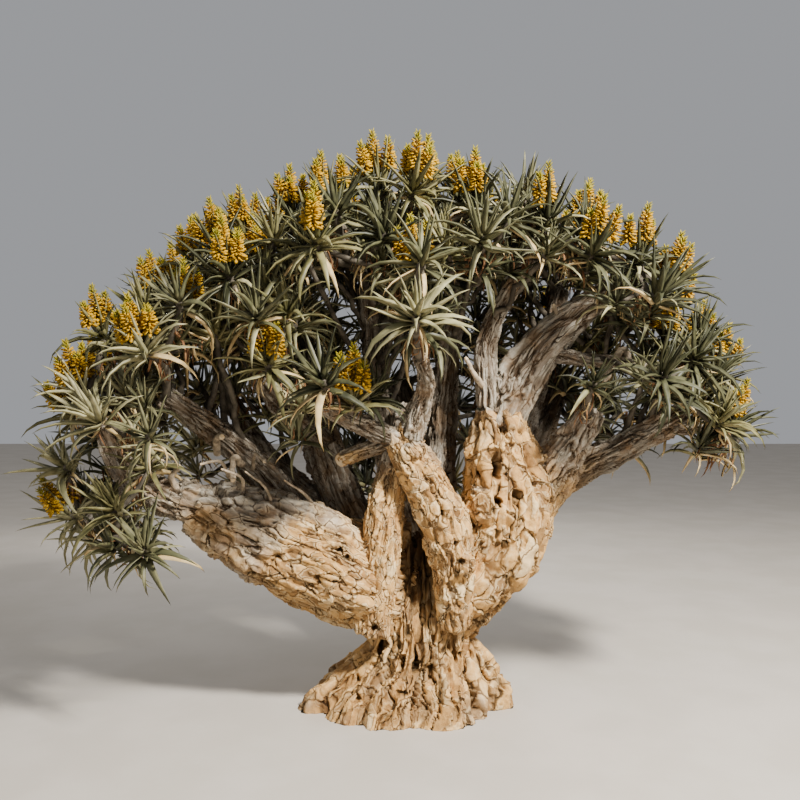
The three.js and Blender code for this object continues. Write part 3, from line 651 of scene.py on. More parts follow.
@dataclass
class CrownRule:
    """The seeded rule that places rosettes, as the solids have it and then finer."""

    dome_centre: Triple = (-.04, .05, 1.5)
    dome_radii: Triple = (2.3, 1.6, 2.0)
    crown_floor: float = 1.06
    rosette_rise: float = .35
    spike_rise: float = .5
    core_radius: float = .086
    leaf_clearance: float = .006
    cell_margin: float = .0015
    sibling_overlap: float = 1.35
    spike_height: float = .39
    spike_radius: float = .062
    spike_swell_at: float = .6
    stem_most: float = .031
    stem_to_tip: float = .62
    shared_stem_to_tip: float = .4
    shared_stem_aside: float = .5
    fork_at: float = .5
    fork_rise: float = .02
    sister_away: Span = (.85, 1.2)
    sister_inward: Span = (.05, .35)
    place_trials: int = 14
    first_seed: int = 12
    limb_samples: int = 16
    run_samples: int = 8
    run_taper: float = .8
    lump_reach: float = 1.7
    twig_radius = .017

    def __post_init__(self) -> None:
        """Marks the space that the limbs take."""
        z, lean, wide, _, fold = TRUNK_LEVELS.T
        centres, radii = [np.column_stack([lean, 0 * z, z])], [wide * (1 + fold)]
        shares = np.linspace(0, 1, self.limb_samples + 1)
        for limb in LIMBS:
            centres.append(limb.curve.at(limb.curve.even(shares)))
            radii.append(limb.radius_at(shares) * (1 + self.lump_reach * limb.lump))
        self.wood_at, self.wood_radius = np.concatenate(centres), np.concatenate(radii)

    def outward(self, point: Array) -> Array:
        """The direction straight out of the dome at a place."""
        return unit((point - self.dome_centre) / np.square(self.dome_radii))

    def limb_room(self, point: Array) -> float:
        """The distance from a point to the nearest limb's skin."""
        return float((norm(self.wood_at - point, axis=1) - self.wood_radius).min())

    def clear_of_limbs(self, start: Array, end: Array, half_width: float) -> bool:
        """Whether a tapering straight run stays clear of every limb.

        Args:
            start: Where it starts.
            end: Where it ends.
            half_width: Half its width at the start.

        Returns:
            Whether it does.
        """
        return all(self.limb_room(start + (end - start) * along)
                   >= half_width * (1 - self.run_taper * along) + self.leaf_clearance
                   for along in (np.arange(self.run_samples) + 1) / self.run_samples)

    def roomiest(self, centre: Array, dice: Dice, spans: tuple[float, Span, Span], taken: list[Array],
                 margin: float, least: float, fits: Callable[[Array], bool]) -> Array | None:
        """The roomiest of a few places tried round a rosette.

        Args:
            centre: The rosette's centre.
            dice: The source of fractions.
            spans: A scale, and how far away and how far inward a place may lie.
            taken: The centres that are taken.
            margin: How much nearer than those a limb's skin may be.
            least: The room that a place must have.
            fits: Whether a place is allowed.

        Returns:
            The place, where one has the room.
        """
        outward = self.outward(centre)
        side, rise = square_to(outward)
        scale, away_span, inward_span = spans
        best, most = None, least
        for _ in range(self.place_trials):
            turn = dice.between(0, 2 * math.pi)
            away, inward = scale * dice.between(*away_span), scale * dice.between(*inward_span)
            place = centre + side * away * math.cos(turn) + rise * away * math.sin(turn) - outward * inward
            if place[2] < self.crown_floor or not fits(place):
                continue
            room = min(norm(np.array(taken) - place, axis=1).min(), self.limb_room(place) + margin)
            if room > most:
                best, most = place, room
        return best

    def place_rosettes(self) -> list[list[Rosette]]:
        """Places every mass's rosettes, each further one at the roomiest place tried.

        Returns:
            The rosettes of each mass, the leading one first.
        """
        taken = [np.array(plan.lead, float) for plan in MASSES]
        placed = []
        least = 2 * self.core_radius + self.leaf_clearance
        for index, plan in enumerate(MASSES):
            dice = Dice(index + self.first_seed)
            centres = [taken[index]]
            spans = (plan.spread, self.sister_away, self.sister_inward)
            for _ in range(1, plan.rosettes):
                best = self.roomiest(centres[0], dice, spans, taken, self.core_radius, least, lambda _: True)
                if best is not None:
                    centres.append(best)
                    taken.append(best)
            placed.append([Rosette(centre, dice.between(0, 2 * math.pi)) for centre in centres])
        return placed

    def stem_start(self, plan: MassPlan) -> tuple[Array, Array, float]:
        """Where a mass's stem leaves its bough, its heading and its radius.

        Args:
            plan: The mass.

        Returns:
            The place, the heading and the radius.
        """
        bough = limb_named(plan.bough)
        points, tangents, _, _ = bough.curve.rings(np.array([0.0, 1.0]))
        tip, tip_radius = points[-1], bough.radii[2]
        headings = {mass.name: unit(np.array(mass.lead) - tip) for mass in MASSES if mass.bough == plan.bough}
        heading = headings[plan.name]
        if len(headings) == 1:
            return tip, heading, min(self.stem_most, self.stem_to_tip * tip_radius)
        aside = heading - np.mean(list(headings.values()), axis=0)
        aside = unit(aside - tangents[-1] * (aside @ tangents[-1]))
        return (tip + aside * self.shared_stem_aside * tip_radius, heading,
                min(self.stem_most, self.shared_stem_to_tip * tip_radius))

    def grow(self) -> list[MassLayout]:
        """Lays out every mass with the rosettes that the solids have.

        Returns:
            The masses.
        """
        layouts = []
        for index, rosettes in enumerate(self.place_rosettes()):
            plan = MASSES[index]
            start, heading, radius = self.stem_start(plan)
            middle = np.mean([r.centre for r in rosettes], axis=0)
            fork = start + (middle - start) * self.fork_at + heading * self.fork_rise
            for rosette in rosettes:
                self.face(rosette, fork, heading)
            layouts.append(MassLayout(plan, index, rosettes, start, heading, fork, radius))
        for layout in layouts:
            others = [other for other in layouts if other is not layout]
            layout.rosettes = [r for k, r in enumerate(layout.rosettes)
                               if k == 0 or self.has_room(layout, r, others)]
        for layout in layouts:
            for k, rosette in enumerate(layout.rosettes):
                rosette.flowers = k < layout.plan.spikes and self.spike_fits(layouts, layout, rosette)
        return layouts

    def face(self, rosette: Rosette, twig_from: Array, heading: Array) -> None:
        """Turns a rosette outwards, upwards and on along its twig.

        Args:
            rosette: The rosette.
            twig_from: Where its twig starts.
            heading: The way the twig sets out.
        """
        outward = unit(self.outward(rosette.centre) + UP * self.rosette_rise)
        rosette.axis = unit(outward + unit(rosette.centre - twig_from))
        rosette.twig_from, rosette.twig_heading = twig_from, heading

    def has_room(self, layout: MassLayout, rosette: Rosette, others: list[MassLayout]) -> bool:
        """Whether a rosette and its twig keep clear of the other masses and the limbs.

        Args:
            layout: The rosette's mass.
            rosette: The rosette.
            others: The other masses.

        Returns:
            Whether they do.
        """
        centre, clear = rosette.centre, self.leaf_clearance
        for other in others:
            for start, end, radius in other.runs():
                if run_distance(centre, centre, start, end) <= self.core_radius + radius + clear:
                    return False
                if (other.plan.bough != layout.plan.bough and run_distance(layout.fork, centre, start, end)
                        <= self.twig_radius + radius + clear):
                    return False
            for far in other.rosettes:
                if (run_distance(far.centre, far.centre, layout.fork, centre)
                        <= self.core_radius + self.twig_radius + clear):
                    return False
        return self.clear_of_limbs(layout.fork, centre, self.twig_radius)

    def spike_fits(self, layouts: list[MassLayout], owner: MassLayout, rosette: Rosette) -> bool:
        """Whether a rosette's flower spike keeps to its mass's own space.

        Args:
            layouts: Every mass.
            owner: The rosette's mass.
            rosette: The rosette.

        Returns:
            Whether it does.
        """
        heading = unit(rosette.axis + UP * self.spike_rise)
        swell = rosette.centre + heading * self.spike_swell_at * self.spike_height
        top = rosette.centre + heading * self.spike_height
        rim = [swell + way * sign * self.spike_radius for way in square_to(heading) for sign in (-1, 1)]
        points = np.array([top, *rim]) - rosette.centre
        for layout in layouts:
            for other in layout.rosettes:
                if other is rosette:
                    continue
                gap = other.centre - rosette.centre
                distance = norm(gap)
                half = (self.sibling_overlap * distance / 2 if layout is owner
                        else distance / 2 - self.cell_margin)
                if (points @ (gap / distance)).max() >= half:
                    return False
        return self.clear_of_limbs(rosette.centre, top, self.spike_radius)


def seen_from_front(place: Array) -> Array:
    """How far right and how high a place shows on the upright plane through the trunk."""
    ray = place - VIEW_FROM
    return (VIEW_FROM + ray * (-VIEW_FROM[1] / ray[1]))[[0, 2]]


@dataclass(frozen=True)
class Opening:
    """An oval of the crown's front where the limbs show between the rosettes."""

    right: float
    high: float
    half_wide: float
    half_high: float
    behind: float = 0.0

    def blocks(self, place: Array) -> bool:
        """Whether a rosette at a place would hang in front of the opening."""
        off = (seen_from_front(place) - (self.right, self.high)) / (self.half_wide, self.half_high)
        return place[1] < self.behind and (off ** 2).sum() < 1


OPENINGS = [Opening(*row) for row in (
    (.93, 2.17, .56, .5, .05), (.6, 1.62, .42, .46, .2), (-1.24, 1.8, .4, .5, .1),
    (-.36, 2.56, .26, .36, -.1), (-.04, 1.58, .62, .34, .15), (-1.03, 1.22, .7, .4, .3),
    (1.38, 1.67, .48, .3, .1), (.5, 2.5, .34, .25, .1), (.2, 2.06, .27, .26, -.1),
    (-.33, 2.32, .36, .32, .1), (.86, 2.66, .22, .18, .1), (-.85, 2.12, .2, .26, .0),
    (1.5, 1.06, .95, .56, 3.0))]


# Where the crown's front flowers, as it shows from the front: how far right and how high
FLOWERING = [
    (-1.95, 2.6), (-1.63, 2.85), (-1.47, 2.95), (-1.23, 2.98), (-1.03, 3.04), (-.97, 3.33), (-.84, 3.26),
    (-.58, 3.42), (-.36, 3.48), (-.26, 3.52), (.12, 3.55), (.25, 3.52), (.39, 3.48), (.88, 3.3), (1.11, 3.26),
    (1.41, 3.17), (1.73, 3.0), (1.74, 2.56), (2.09, 2.28), (2.23, 2.08), (2.22, 1.94), (-1.0, 2.44),
    (-.87, 2.32), (-.33, 2.13), (-2.34, 2.09),
]


@dataclass
class FinerRule:
    """Carries the crown's rule on to finer twigs, inside each mass's own space."""

    crown: CrownRule
    per_rosette: int = 3
    away: Span = (.1, .34)
    inward: Span = (.12, .62)
    least_room: float = .16
    limb_margin: float = .08
    leaves: int = 23
    sizes: Span = (.74, .96)
    twig_leaves_at: Span = (.35, .75)
    flower_share: float = .16
    flower_from: float = 2.3
    flower_least_up: float = .5
    flower_most_back: float = .8
    small: dict[str, float] = field(default_factory=lambda: {"foliage_right_tuft": .72})
    seed: int = 401

    def grow(self, layouts: list[MassLayout]) -> None:
        """Clears the openings and adds the finer rosettes to every mass.

        Args:
            layouts: The masses, which gain rosettes.
        """
        dice = Dice(self.seed)
        for layout in layouts:
            layout.rosettes = [r for k, r in enumerate(layout.rosettes)
                               if k == 0 or not self.in_opening(r.centre)]
            layout.rosettes[0].size = self.small.get(layout.plan.name, 1.0)
        first = [(layout.index, r.centre) for layout in layouts for r in layout.rosettes]
        owners, taken = np.array([index for index, _ in first]), [centre for _, centre in first]
        own_centres = np.array(taken)
        for layout in layouts:
            def own_space(place: Array, index: int = layout.index) -> bool:
                """Whether a place is its own mass's and leaves the openings clear."""
                nearest = norm(own_centres - place, axis=1).argmin()
                return owners[nearest] == index and not self.in_opening(place)

            for parent in [r for r in layout.rosettes for _ in range(self.per_rosette)]:
                place = self.crown.roomiest(parent.centre, dice, (1.0, self.away, self.inward), taken,
                                            self.limb_margin, self.least_room, own_space)
                if place is None:
                    continue
                taken.append(place)
                share = dice.between(*self.twig_leaves_at)
                start = layout.fork + (parent.centre - layout.fork) * share
                child = Rosette(place, dice.between(0, 2 * math.pi), size=dice.between(*self.sizes),
                                leaves=self.leaves, rank=1)
                self.crown.face(child, start, unit(parent.centre - layout.fork))
                high = place[2] > self.flower_from and child.axis[2] > self.flower_least_up
                seen = self.crown.outward(place)[1] < self.flower_most_back
                child.flowers = dice.roll() < self.flower_share and high and seen
                layout.rosettes.append(child)

    def in_opening(self, place: Array) -> bool:
        """Whether a rosette at a place would hang in front of an opening."""
        return any(opening.blocks(place) for opening in OPENINGS)


class Wire:
    """What a node gives; a number takes part in sums with the usual signs."""

    def __init__(self, sheet: "Sheet", socket: Socket) -> None:
        """Keeps the socket and the sheet that further nodes go on."""
        self.sheet, self.socket = sheet, socket

    def __add__(self, other: object) -> "Wire":
        """The sum."""
        return self.sheet.math("ADD", self, other)

    def __sub__(self, other: object) -> "Wire":
        """The difference."""
        return self.sheet.math("SUBTRACT", self, other)

    def __rsub__(self, other: object) -> "Wire":
        """The difference from a plain value."""
        return self.sheet.math("SUBTRACT", other, self)

    def __mul__(self, other: object) -> "Wire":
        """The product."""
        return self.sheet.math("MULTIPLY", self, other)

    def __truediv__(self, other: object) -> "Wire":
        """The quotient."""
        return self.sheet.math("DIVIDE", self, other)

    def __abs__(self) -> "Wire":
        """The size without its sign."""
        return self.sheet.math("ABSOLUTE", self)


class Sheet:
    """Short words for building a node tree."""

    def __init__(self, tree: bpy.types.NodeTree) -> None:
        """Takes the tree that the nodes go into."""
        self.tree = tree

    def add(self, kind: str, feeds: dict | None = None, **settings: object) -> bpy.types.Node:
        """Adds a node.

        Args:
            kind: The node's type.
            feeds: What goes into its inputs, by name or number.
            settings: The node's own settings.

        Returns:
            The node.
        """
        node = self.tree.nodes.new(kind)
        for key, value in settings.items():
            setattr(node, key, value)
        for key, value in (feeds or {}).items():
            self.feed(node.inputs[key], value)
        return node

    def out(self, kind: str, feeds: dict | None = None, output: str | int = 0, **settings: object) -> Wire:
        """Adds a node and gives one of its outputs, the first unless another is named."""
        return Wire(self, self.add(kind, feeds, **settings).outputs[output])

    def feed(self, socket: Socket, value: object) -> None:
        """Links a socket, or sets its value.

        Args:
            socket: The input.
            value: A wire, a socket or a plain value.
        """
        value = value.socket if isinstance(value, Wire) else value
        if isinstance(value, Socket):
            self.tree.links.new(value, socket)
        else:
            socket.default_value = value

    def math(self, operation: str, first: object, second: object = 0.0) -> Wire:
        """The result of one step of arithmetic."""
        return self.out("ShaderNodeMath", {0: first, 1: second}, operation=operation)

    def vector(self, operation: str, first: object, second: object) -> Wire:
        """The result of one step of vector arithmetic."""
        return self.out("ShaderNodeVectorMath", {0: first, 1: second}, operation=operation)

    def scaled(self, first: object, scale: object) -> Wire:
        """A vector scaled by a number."""
        return self.out("ShaderNodeVectorMath", {0: first, "Scale": scale}, operation="SCALE")

    def ease(self, value: object, low: float, high: float) -> Wire:
        """An eased rise from 0 at low to 1 at high."""
        return self.out("ShaderNodeMapRange", {"Value": value, "From Min": low, "From Max": high}, "Result",
                        interpolation_type="SMOOTHSTEP")

    def near(self, value: Wire, place: float, width: float) -> Wire:
        """1 where a value is at a place, easing to 0 a width away from it."""
        return 1.0 - self.ease(abs(value - place), .0, width)

    def noise(self, place: object, scale: float, detail: float = 3.0, rough: float = .55,
              output: str = "Fac") -> Wire:
        """A noise pattern."""
        return self.out("ShaderNodeTexNoise", {"Vector": place, "Scale": scale, "Detail": detail,
                                               "Roughness": rough}, output)

    def ramp(self, value: object, *stops: tuple[float, tuple]) -> Wire:
        """A colour that changes over a range of stops.

        Args:
            value: The place in the range.
            stops: Each stop's place and colour, rising.

        Returns:
            The colour.
        """
        node = self.add("ShaderNodeValToRGB", {"Fac": value})
        elements = node.color_ramp.elements
        for index, (place, shade) in enumerate(stops):
            element = elements[index] if index < 2 else elements.new(place)
            element.position, element.color = place, shade
        return Wire(self, node.outputs["Color"])

    def mix(self, share: object, first: object, second: object) -> Wire:
        """Two colours mixed."""
        return self.out("ShaderNodeMix", {0: share, 6: first, 7: second}, 2, data_type="RGBA")


class GrowthTree:
    """A Geometry Nodes tree with named inputs, run once on an object."""

    def __init__(self, name: str) -> None:
        """Starts the tree with its geometry sockets.

        Args:
            name: The tree's name.
        """
        self.tree = bpy.data.node_groups.new(name, "GeometryNodeTree")
        for way in ("INPUT", "OUTPUT"):
            self.tree.interface.new_socket("Geometry", in_out=way, socket_type="NodeSocketGeometry")
        self.sheet = Sheet(self.tree)
        self.entry = self.sheet.add("NodeGroupInput")
        self.start = self.entry.outputs["Geometry"]
        self.keys: dict[str, str] = {}

    def size(self, name: str, value: object = None, kind: str = "NodeSocketFloat") -> Wire:
        """Adds a named input.

        Args:
            name: The input's name.
            value: What it starts at.
            kind: The socket's type.

        Returns:
            What gives the value inside the tree.
        """
        socket = self.tree.interface.new_socket(name, in_out="INPUT", socket_type=kind)
        if value is not None:
            socket.default_value = value
        self.keys[name] = socket.identifier
        return Wire(self.sheet, self.entry.outputs[name])

    def attribute(self, name: str, kind: str = "FLOAT") -> Wire:
        """A named attribute of the geometry."""
        return self.sheet.out("GeometryNodeInputNamedAttribute", {"Name": name}, "Attribute", data_type=kind)

    def close(self, geometry: Wire) -> None:
        """Ends the tree: instances are realized and the finish is set.

        Args:
            geometry: What the tree has made.
        """
        finish = self.size("Finish", kind="NodeSocketMaterial")
        real = self.sheet.out("GeometryNodeRealizeInstances", {"Geometry": geometry})
        smooth = self.sheet.out("GeometryNodeSetShadeSmooth", {"Geometry": real})
        dressed = self.sheet.out("GeometryNodeSetMaterial", {"Geometry": smooth, "Material": finish})
        self.sheet.add("NodeGroupOutput", {"Geometry": dressed})

    def run(self, host: Item, name: str, values: dict[str, object]) -> Item:
        """Runs the tree on an object and keeps the result as a plain piece.

        Args:
            host: The object that the tree starts from, which is used up.
            name: The finished piece's name.
            values: What the named inputs are set to.

        Returns:
            The finished piece, with no modifier.
        """
        modifier = host.modifiers.new(self.tree.name, "NODES")
        modifier.node_group = self.tree
        for key, value in values.items():
            modifier[self.keys[key]] = value
        return settle(host, name)


def settle(host: Item, name: str) -> Item:
    """Makes an object's evaluated shape a plain mesh piece and removes the object.

    Args:
        host: The object with its modifiers.
        name: The new piece's name.

    Returns:
        The new piece.
    """
    bpy.context.view_layer.update()
    graph = bpy.context.evaluated_depsgraph_get()
    mesh = bpy.data.meshes.new_from_object(host.evaluated_get(graph), preserve_all_data_layers=True,
                                           depsgraph=graph)
    bpy.data.objects.remove(host)
    mesh.name = name
    return linked(bpy.data.objects.new(name, mesh))


def linked(item: Item) -> Item:
    """An object, once it is linked to the scene."""
    bpy.context.scene.collection.objects.link(item)
    return item


def mesh_object(name: str, vertices: Array, faces: Sequence = (), edges: Sequence = ()) -> Item:
    """A mesh object made from vertices and faces or edges.

    Args:
        name: The object's name.
        vertices: One vertex in each row.
        faces: The faces' vertex numbers.
        edges: The edges' vertex numbers, where there are no faces.

    Returns:
        The object, which isn't in the scene yet.
    """
    mesh = bpy.data.meshes.new(name)
    mesh.from_pydata(np.asarray(vertices, float).tolist(), edges, faces)
    mesh.update()
    return bpy.data.objects.new(name, mesh)


def enter(piece: Item, solids: Sequence[str] = ()) -> Item:
    """Enters a finished piece with the frame.

    Args:
        piece: The piece.
        solids: The nodes that it stands in for.

    Returns:
        The same piece.
    """
    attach(piece, BODY)
    if solids:
        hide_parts(*solids)
    return piece


def give(mesh: bpy.types.Mesh, name: str, values: Array, kind: str = "FLOAT") -> None:
    """Gives a mesh an attribute on its points.

    Args:
        mesh: The mesh.
        name: The attribute's name.
        values: One value in each row.
        kind: The attribute's type.
    """
    made = mesh.attributes.new(name, kind, "POINT")
    key = "vector" if kind == "FLOAT_VECTOR" else "value"
    number = np.int32 if kind == "INT" else np.float32
    made.data.foreach_set(key, np.ascontiguousarray(values, number).ravel())


def as_turns(along: Array, upper: Array) -> Array:
    """Rotations that take +X to a leaf's run and +Z to its upper side.

    Args:
        along: Each leaf's direction.
        upper: Roughly which way its upper side faces.

    Returns:
        One quaternion in each row, real part first.
    """
    x = unit(along)
    y = unit(np.cross(upper, x))
    z = np.cross(x, y)
    m = np.stack([x, y, z], axis=2)
    trace = m[:, 0, 0] + m[:, 1, 1] + m[:, 2, 2]
    q = np.empty((len(x), 4))
    q[:, 0] = np.sqrt(np.maximum(0, 1 + trace)) / 2
    for i, (j, k) in enumerate(((1, 2), (2, 0), (0, 1))):
        size = np.sqrt(np.maximum(0, 1 + 2 * m[:, i, i] - trace)) / 2
        q[:, i + 1] = np.copysign(size, m[:, k, j] - m[:, j, k])
    return unit(q)


@dataclass
class BarkMarks:
    """What the bark's pattern gives at each place."""

    crack: Wire
    crevice: Wire
    fold: Wire
    seam: Wire
    tone: Wire
    shingle: Wire
    layer: Wire
    # foot: the foot of each flake step, where painted shadow goes; rim: pale edges of flakes and seams,
    # partly a painted highlight
    foot: Wire
    rim: Wire
    fibre: Wire


@dataclass(frozen=True)
class BarkPattern:
    """Flakes, cracks and fibres, laid the same for the relief and for the colours."""

    drift: float = 1.7
    shake: float = .2
    crack_width: float = .08
    seam_width: float = .05
    layers: float = 7.0
    step_share: float = .12
    crevice_scale: float = .8
    crevice_stretch: float = .2

    def lay(self, sheet: Sheet, place: Wire) -> BarkMarks:
        """Lays the pattern out along a limb.

        Args:
            sheet: The tree that takes the nodes.
            place: The place along the straightened limb, counted in flakes.

        Returns:
            The pattern's values.
        """
        half = (.5, .5, .5)
        drift = sheet.vector("SUBTRACT", sheet.noise(place, .5, 2, output="Color"), half)
        shake = sheet.vector("SUBTRACT", sheet.noise(place, 2.2, 3, .6, "Color"), half)
        moved = sheet.vector("ADD", place, sheet.vector("MULTIPLY", drift, (self.drift,) * 3))
        warped = sheet.vector("ADD", moved, sheet.vector("MULTIPLY", shake, (self.shake,) * 3))
        edge = sheet.out("ShaderNodeTexVoronoi", {"Vector": warped, "Scale": 1}, "Distance",
                         feature="DISTANCE_TO_EDGE")
        cell = sheet.add("ShaderNodeTexVoronoi", {"Vector": warped, "Scale": 1}).outputs
        tone = sheet.out("ShaderNodeSeparateXYZ", {"Vector": cell["Color"]})
        lean = sheet.out("ShaderNodeVectorMath", {
            0: sheet.vector("SUBTRACT", warped, cell["Position"]),
            1: sheet.vector("SUBTRACT", cell["Color"], half)}, "Value", operation="DOT_PRODUCT")
        gape = sheet.ease(sheet.noise(place, .75), .57, .7)
        crack = gape * (1.0 - sheet.ease(edge, self.crack_width * .25, self.crack_width))
        shown = sheet.ease(sheet.noise(place, 1.1, 2), .38, .58)
        seam = (1.0 - sheet.ease(edge, .0, self.seam_width)) * shown
        stacked = sheet.noise(warped, .42, 4, .58) * self.layers
        part = sheet.math("FRACT", stacked)
        layer = (sheet.math("FLOOR", stacked) + sheet.ease(part, .0, self.step_share)) / self.layers
        # Pale rims beside seams and at the top of each flake step: partly pale peeled edges, partly painted
        # highlight
        rim = sheet.math("MAXIMUM", shown * sheet.near(edge, self.seam_width * 1.7, .07),
                         sheet.near(part, self.step_share + .04, .07))
        fibre = sheet.noise(sheet.vector("MULTIPLY", moved, (1.2, 1.2, .12)), 1.2, 5, .58)
        run = sheet.vector("MULTIPLY", warped, (1, 1, self.crevice_stretch))
        off = abs(sheet.noise(run, self.crevice_scale, 2) - .5)
        crevice = (1.0 - sheet.ease(off, .003, .026)) * sheet.ease(sheet.noise(place, .55, 2), .36, .54)
        # The mark at the foot of each flake step is given as foot, for painted shadow
        return BarkMarks(crack, crevice, sheet.ease(off, .0, .12), seam, tone, tone * .6 + lean * 1.8, layer,
                         sheet.near(part, .02, .05), rim, fibre)


def new_material(name: str) -> tuple[bpy.types.Material, Sheet]:
    """A new material and the sheet that its nodes go on.

    Args:
        name: The material's name.

    Returns:
        The material and the sheet.
    """
    material = bpy.data.materials.new(name)
    material.use_nodes = True
    return material, Sheet(material.node_tree)


def dress(material: bpy.types.Material, sheet: Sheet, base: Wire, height: Wire, relief: Span,
          roughness: float, gloss: float) -> bpy.types.Material:
    """Gives a material its colour, fine relief, roughness and gloss.

    Args:
        material: The material.
        sheet: Its nodes.
        base: Its colour.
        height: The height of its fine relief.
        relief: How strong the relief is, and how deep in metres.
        roughness: Its roughness.
        gloss: Its level of gloss.

    Returns:
        The material.
    """
    shader = material.node_tree.nodes["Principled BSDF"]
    strength, depth = relief
    bump = sheet.out("ShaderNodeBump", {"Height": height, "Strength": strength, "Distance": depth}, "Normal")
    for name, value in (("Base Color", base), ("Normal", bump), ("Roughness", roughness),
                        ("Specular IOR Level", gloss)):
        sheet.feed(shader.inputs[name], value)
    return material


@dataclass(frozen=True)
class BarkFinish:
    """Flaking bark: golden where it is young, grey and fibrous where it is weathered, with painted shade,
    painted shadow and painted highlights in its relief.
    """

    name: str = "bark_flakes"
    fresh: tuple = colour(146, 106, 62)
    gold: tuple = colour(192, 146, 88)
    cream: tuple = colour(220, 174, 108)
    bleached: tuple = colour(234, 202, 150)
    # Pale peeled flake edges, partly a painted highlight
    rim: tuple = colour(242, 218, 172)
    grey_dark: tuple = colour(96, 88, 77)
    grey: tuple = colour(160, 150, 133)
    grey_pale: tuple = colour(210, 201, 184)
    soil: tuple = colour(146, 114, 78)
    # Painted shade on the low sides of tilted flakes and in the fold valleys
    sunk: tuple = colour(98, 74, 50)
    # Dark seams and crevices, and also the painted shadow at the foot of each flake step
    seam: tuple = colour(78, 54, 32)
    crack: tuple = colour(44, 30, 18)
    # Painted shade for undersides, the inner boughs high in the crown and the pressed hollows
    hollow_shade: tuple = colour(24, 16, 10)
    pattern: BarkPattern = BarkPattern()
    roughness: float = .9
    gloss: float = .15

    def build(self) -> bpy.types.Material:
        """The finish as a material.

        Returns:
            The material.
        """
        material, sheet = new_material(self.name)
        position = sheet.out("ShaderNodeTexCoord", output="Object")
        place = sheet.out("ShaderNodeAttribute", output="Vector", attribute_name="bark_place")
        # deep is painted shade: undersides, the inner boughs high in the crown, and the pressed hollows
        grey, deep, fibrous = (sheet.out("ShaderNodeAttribute", output="Fac", attribute_name=name)
                               for name in ("grey", "deep", "fibrous"))
        marks = self.pattern.lay(sheet, place)
        broad, patch = sheet.noise(position, 3.2), sheet.noise(position, 7.0, 5, .62)
        mottle, grain = sheet.noise(position, 24, 6, .7), sheet.noise(position, 120, 4, .7)
        worn = (marks.layer - .5) * 1.2 + (marks.tone * .26 + mottle * .72)
        golden = sheet.ramp(worn, (.26, self.fresh), (.46, self.gold), (.66, self.cream),
                            (.84, self.bleached))
        strands = marks.fibre * .85 + mottle * .35
        weathered = sheet.ramp(strands, (.4, self.grey_dark), (.58, self.grey), (.78, self.grey_pale))
        skin = sheet.mix(sheet.ease(grey + (broad - .5) * 1.1, .26, .7), golden, weathered)
        # low and valley: the low sides of tilted flakes and the fold valleys, darkened with the sunk colour
        # as painted shade
        low = 1.0 - sheet.ease(marks.shingle, -.15, .3)
        valley = (1.0 - sheet.ease(marks.fold, .0, .6)) * fibrous
        smooth = 1.0 - fibrous * .9
        gaps = 1.0 - sheet.ease(marks.fibre, .3, .44)
        for share, shade in (
                (sheet.ease(patch, .5, .64) * .6, self.soil),
                (sheet.math("MAXIMUM", low, valley) * .55, self.sunk),
                # Flake rims: pale edges with painted highlight; flake step feet: painted shadow in the seam
                # colour
                (marks.rim * smooth * .5, self.rim), (marks.foot * smooth * .4, self.seam),
                (marks.seam * .8, self.seam), (gaps * (fibrous * .4), self.crack),
                # deep mixes in the darkest colour as painted shade
                (marks.crevice * .75, self.seam), (marks.crack * .85, self.crack), (deep * .95, self.hollow_shade)):
            skin = sheet.mix(share, skin, shade)
        raised = marks.layer * 6.0 + marks.shingle * 1.6 + (grain + mottle * 1.4)
        sunken = marks.crack * 1.6 + (marks.seam * .7 + marks.crevice * 1.6)
        height = raised - sunken + marks.fibre * (fibrous * 4.0)
        return dress(material, sheet, skin, height, (.8, .006), self.roughness, self.gloss)


@dataclass(frozen=True)
class PlainFinish:
    """A natural surface of one base colour with a soft mottle of a second."""

    name: str
    body: tuple
    mottle: tuple
    roughness: float = .5
    gloss: float = .35
    scale: float = 11.0
    relief: float = .002
    relief_scale: float = 60.0

    def build(self) -> bpy.types.Material:
        """The finish as a material.

        Returns:
            The material.
        """
        material, sheet = new_material(self.name)
        place = sheet.out("ShaderNodeTexCoord", output="Object")
        cloud = sheet.ease(sheet.noise(place, self.scale, 4), .38, .64)
        return dress(material, sheet, sheet.mix(cloud, self.body, self.mottle),
                     sheet.noise(place, self.relief_scale), (.35, self.relief), self.roughness, self.gloss)


LEAF_FINISHES = {
    tint: PlainFinish(tint.value.replace("leaves", "leaf"), colour(*body), colour(*mottle), *surface)
    for tint, body, mottle, *surface in (
        (Tint.SAGE, (80, 80, 53), (113, 109, 77), .5, .35),
        (Tint.OLIVE, (92, 89, 52), (126, 119, 78), .5, .35),
        (Tint.DUSTY, (54, 55, 35), (82, 81, 54), .5, .3),
        (Tint.PALE, (124, 120, 84), (160, 153, 114), .5, .35),
        (Tint.STRAW, (178, 152, 102), (206, 182, 134), .7, .2),
        (Tint.RUSSET, (104, 72, 48), (146, 108, 74), .8, .1))}
TWIG_FINISH = PlainFinish("twig_skin", colour(64, 58, 49), colour(104, 96, 83), .8, .15, 14., .004, 45.)
STALK_FINISH = PlainFinish("flower_stalk", colour(136, 130, 62), colour(160, 148, 74), .6, .3)
FLOWER_FINISH = PlainFinish("flower_yellow", colour(160, 120, 8), colour(192, 150, 22), .6, .2, 24.)
BUD_FINISH = PlainFinish("flower_bud", colour(128, 120, 26), colour(164, 146, 38), .6, .2, 24.)
DEAD_FINISH = PlainFinish("dead_wood", colour(134, 120, 100), colour(190, 172, 146), .85, .1, 22., .006, 70.)
SNAPPED_FINISH = PlainFinish("snapped_wood", colour(206, 176, 134), colour(230, 208, 172), .85, .1, 30.,
                             .004, 90.)


# How far the bark's marks rise or sink for each metre of girth, unless a piece has its own
RELIEF = {"Crack Depth": .016, "Seam Depth": .004, "Flake Lift": .013, "Layer Lift": .07, "Ridge Depth": .1,
          "Lump Depth": .07, "Fibre Depth": .08, "Crevice Depth": .02, "Fold Depth": .04}


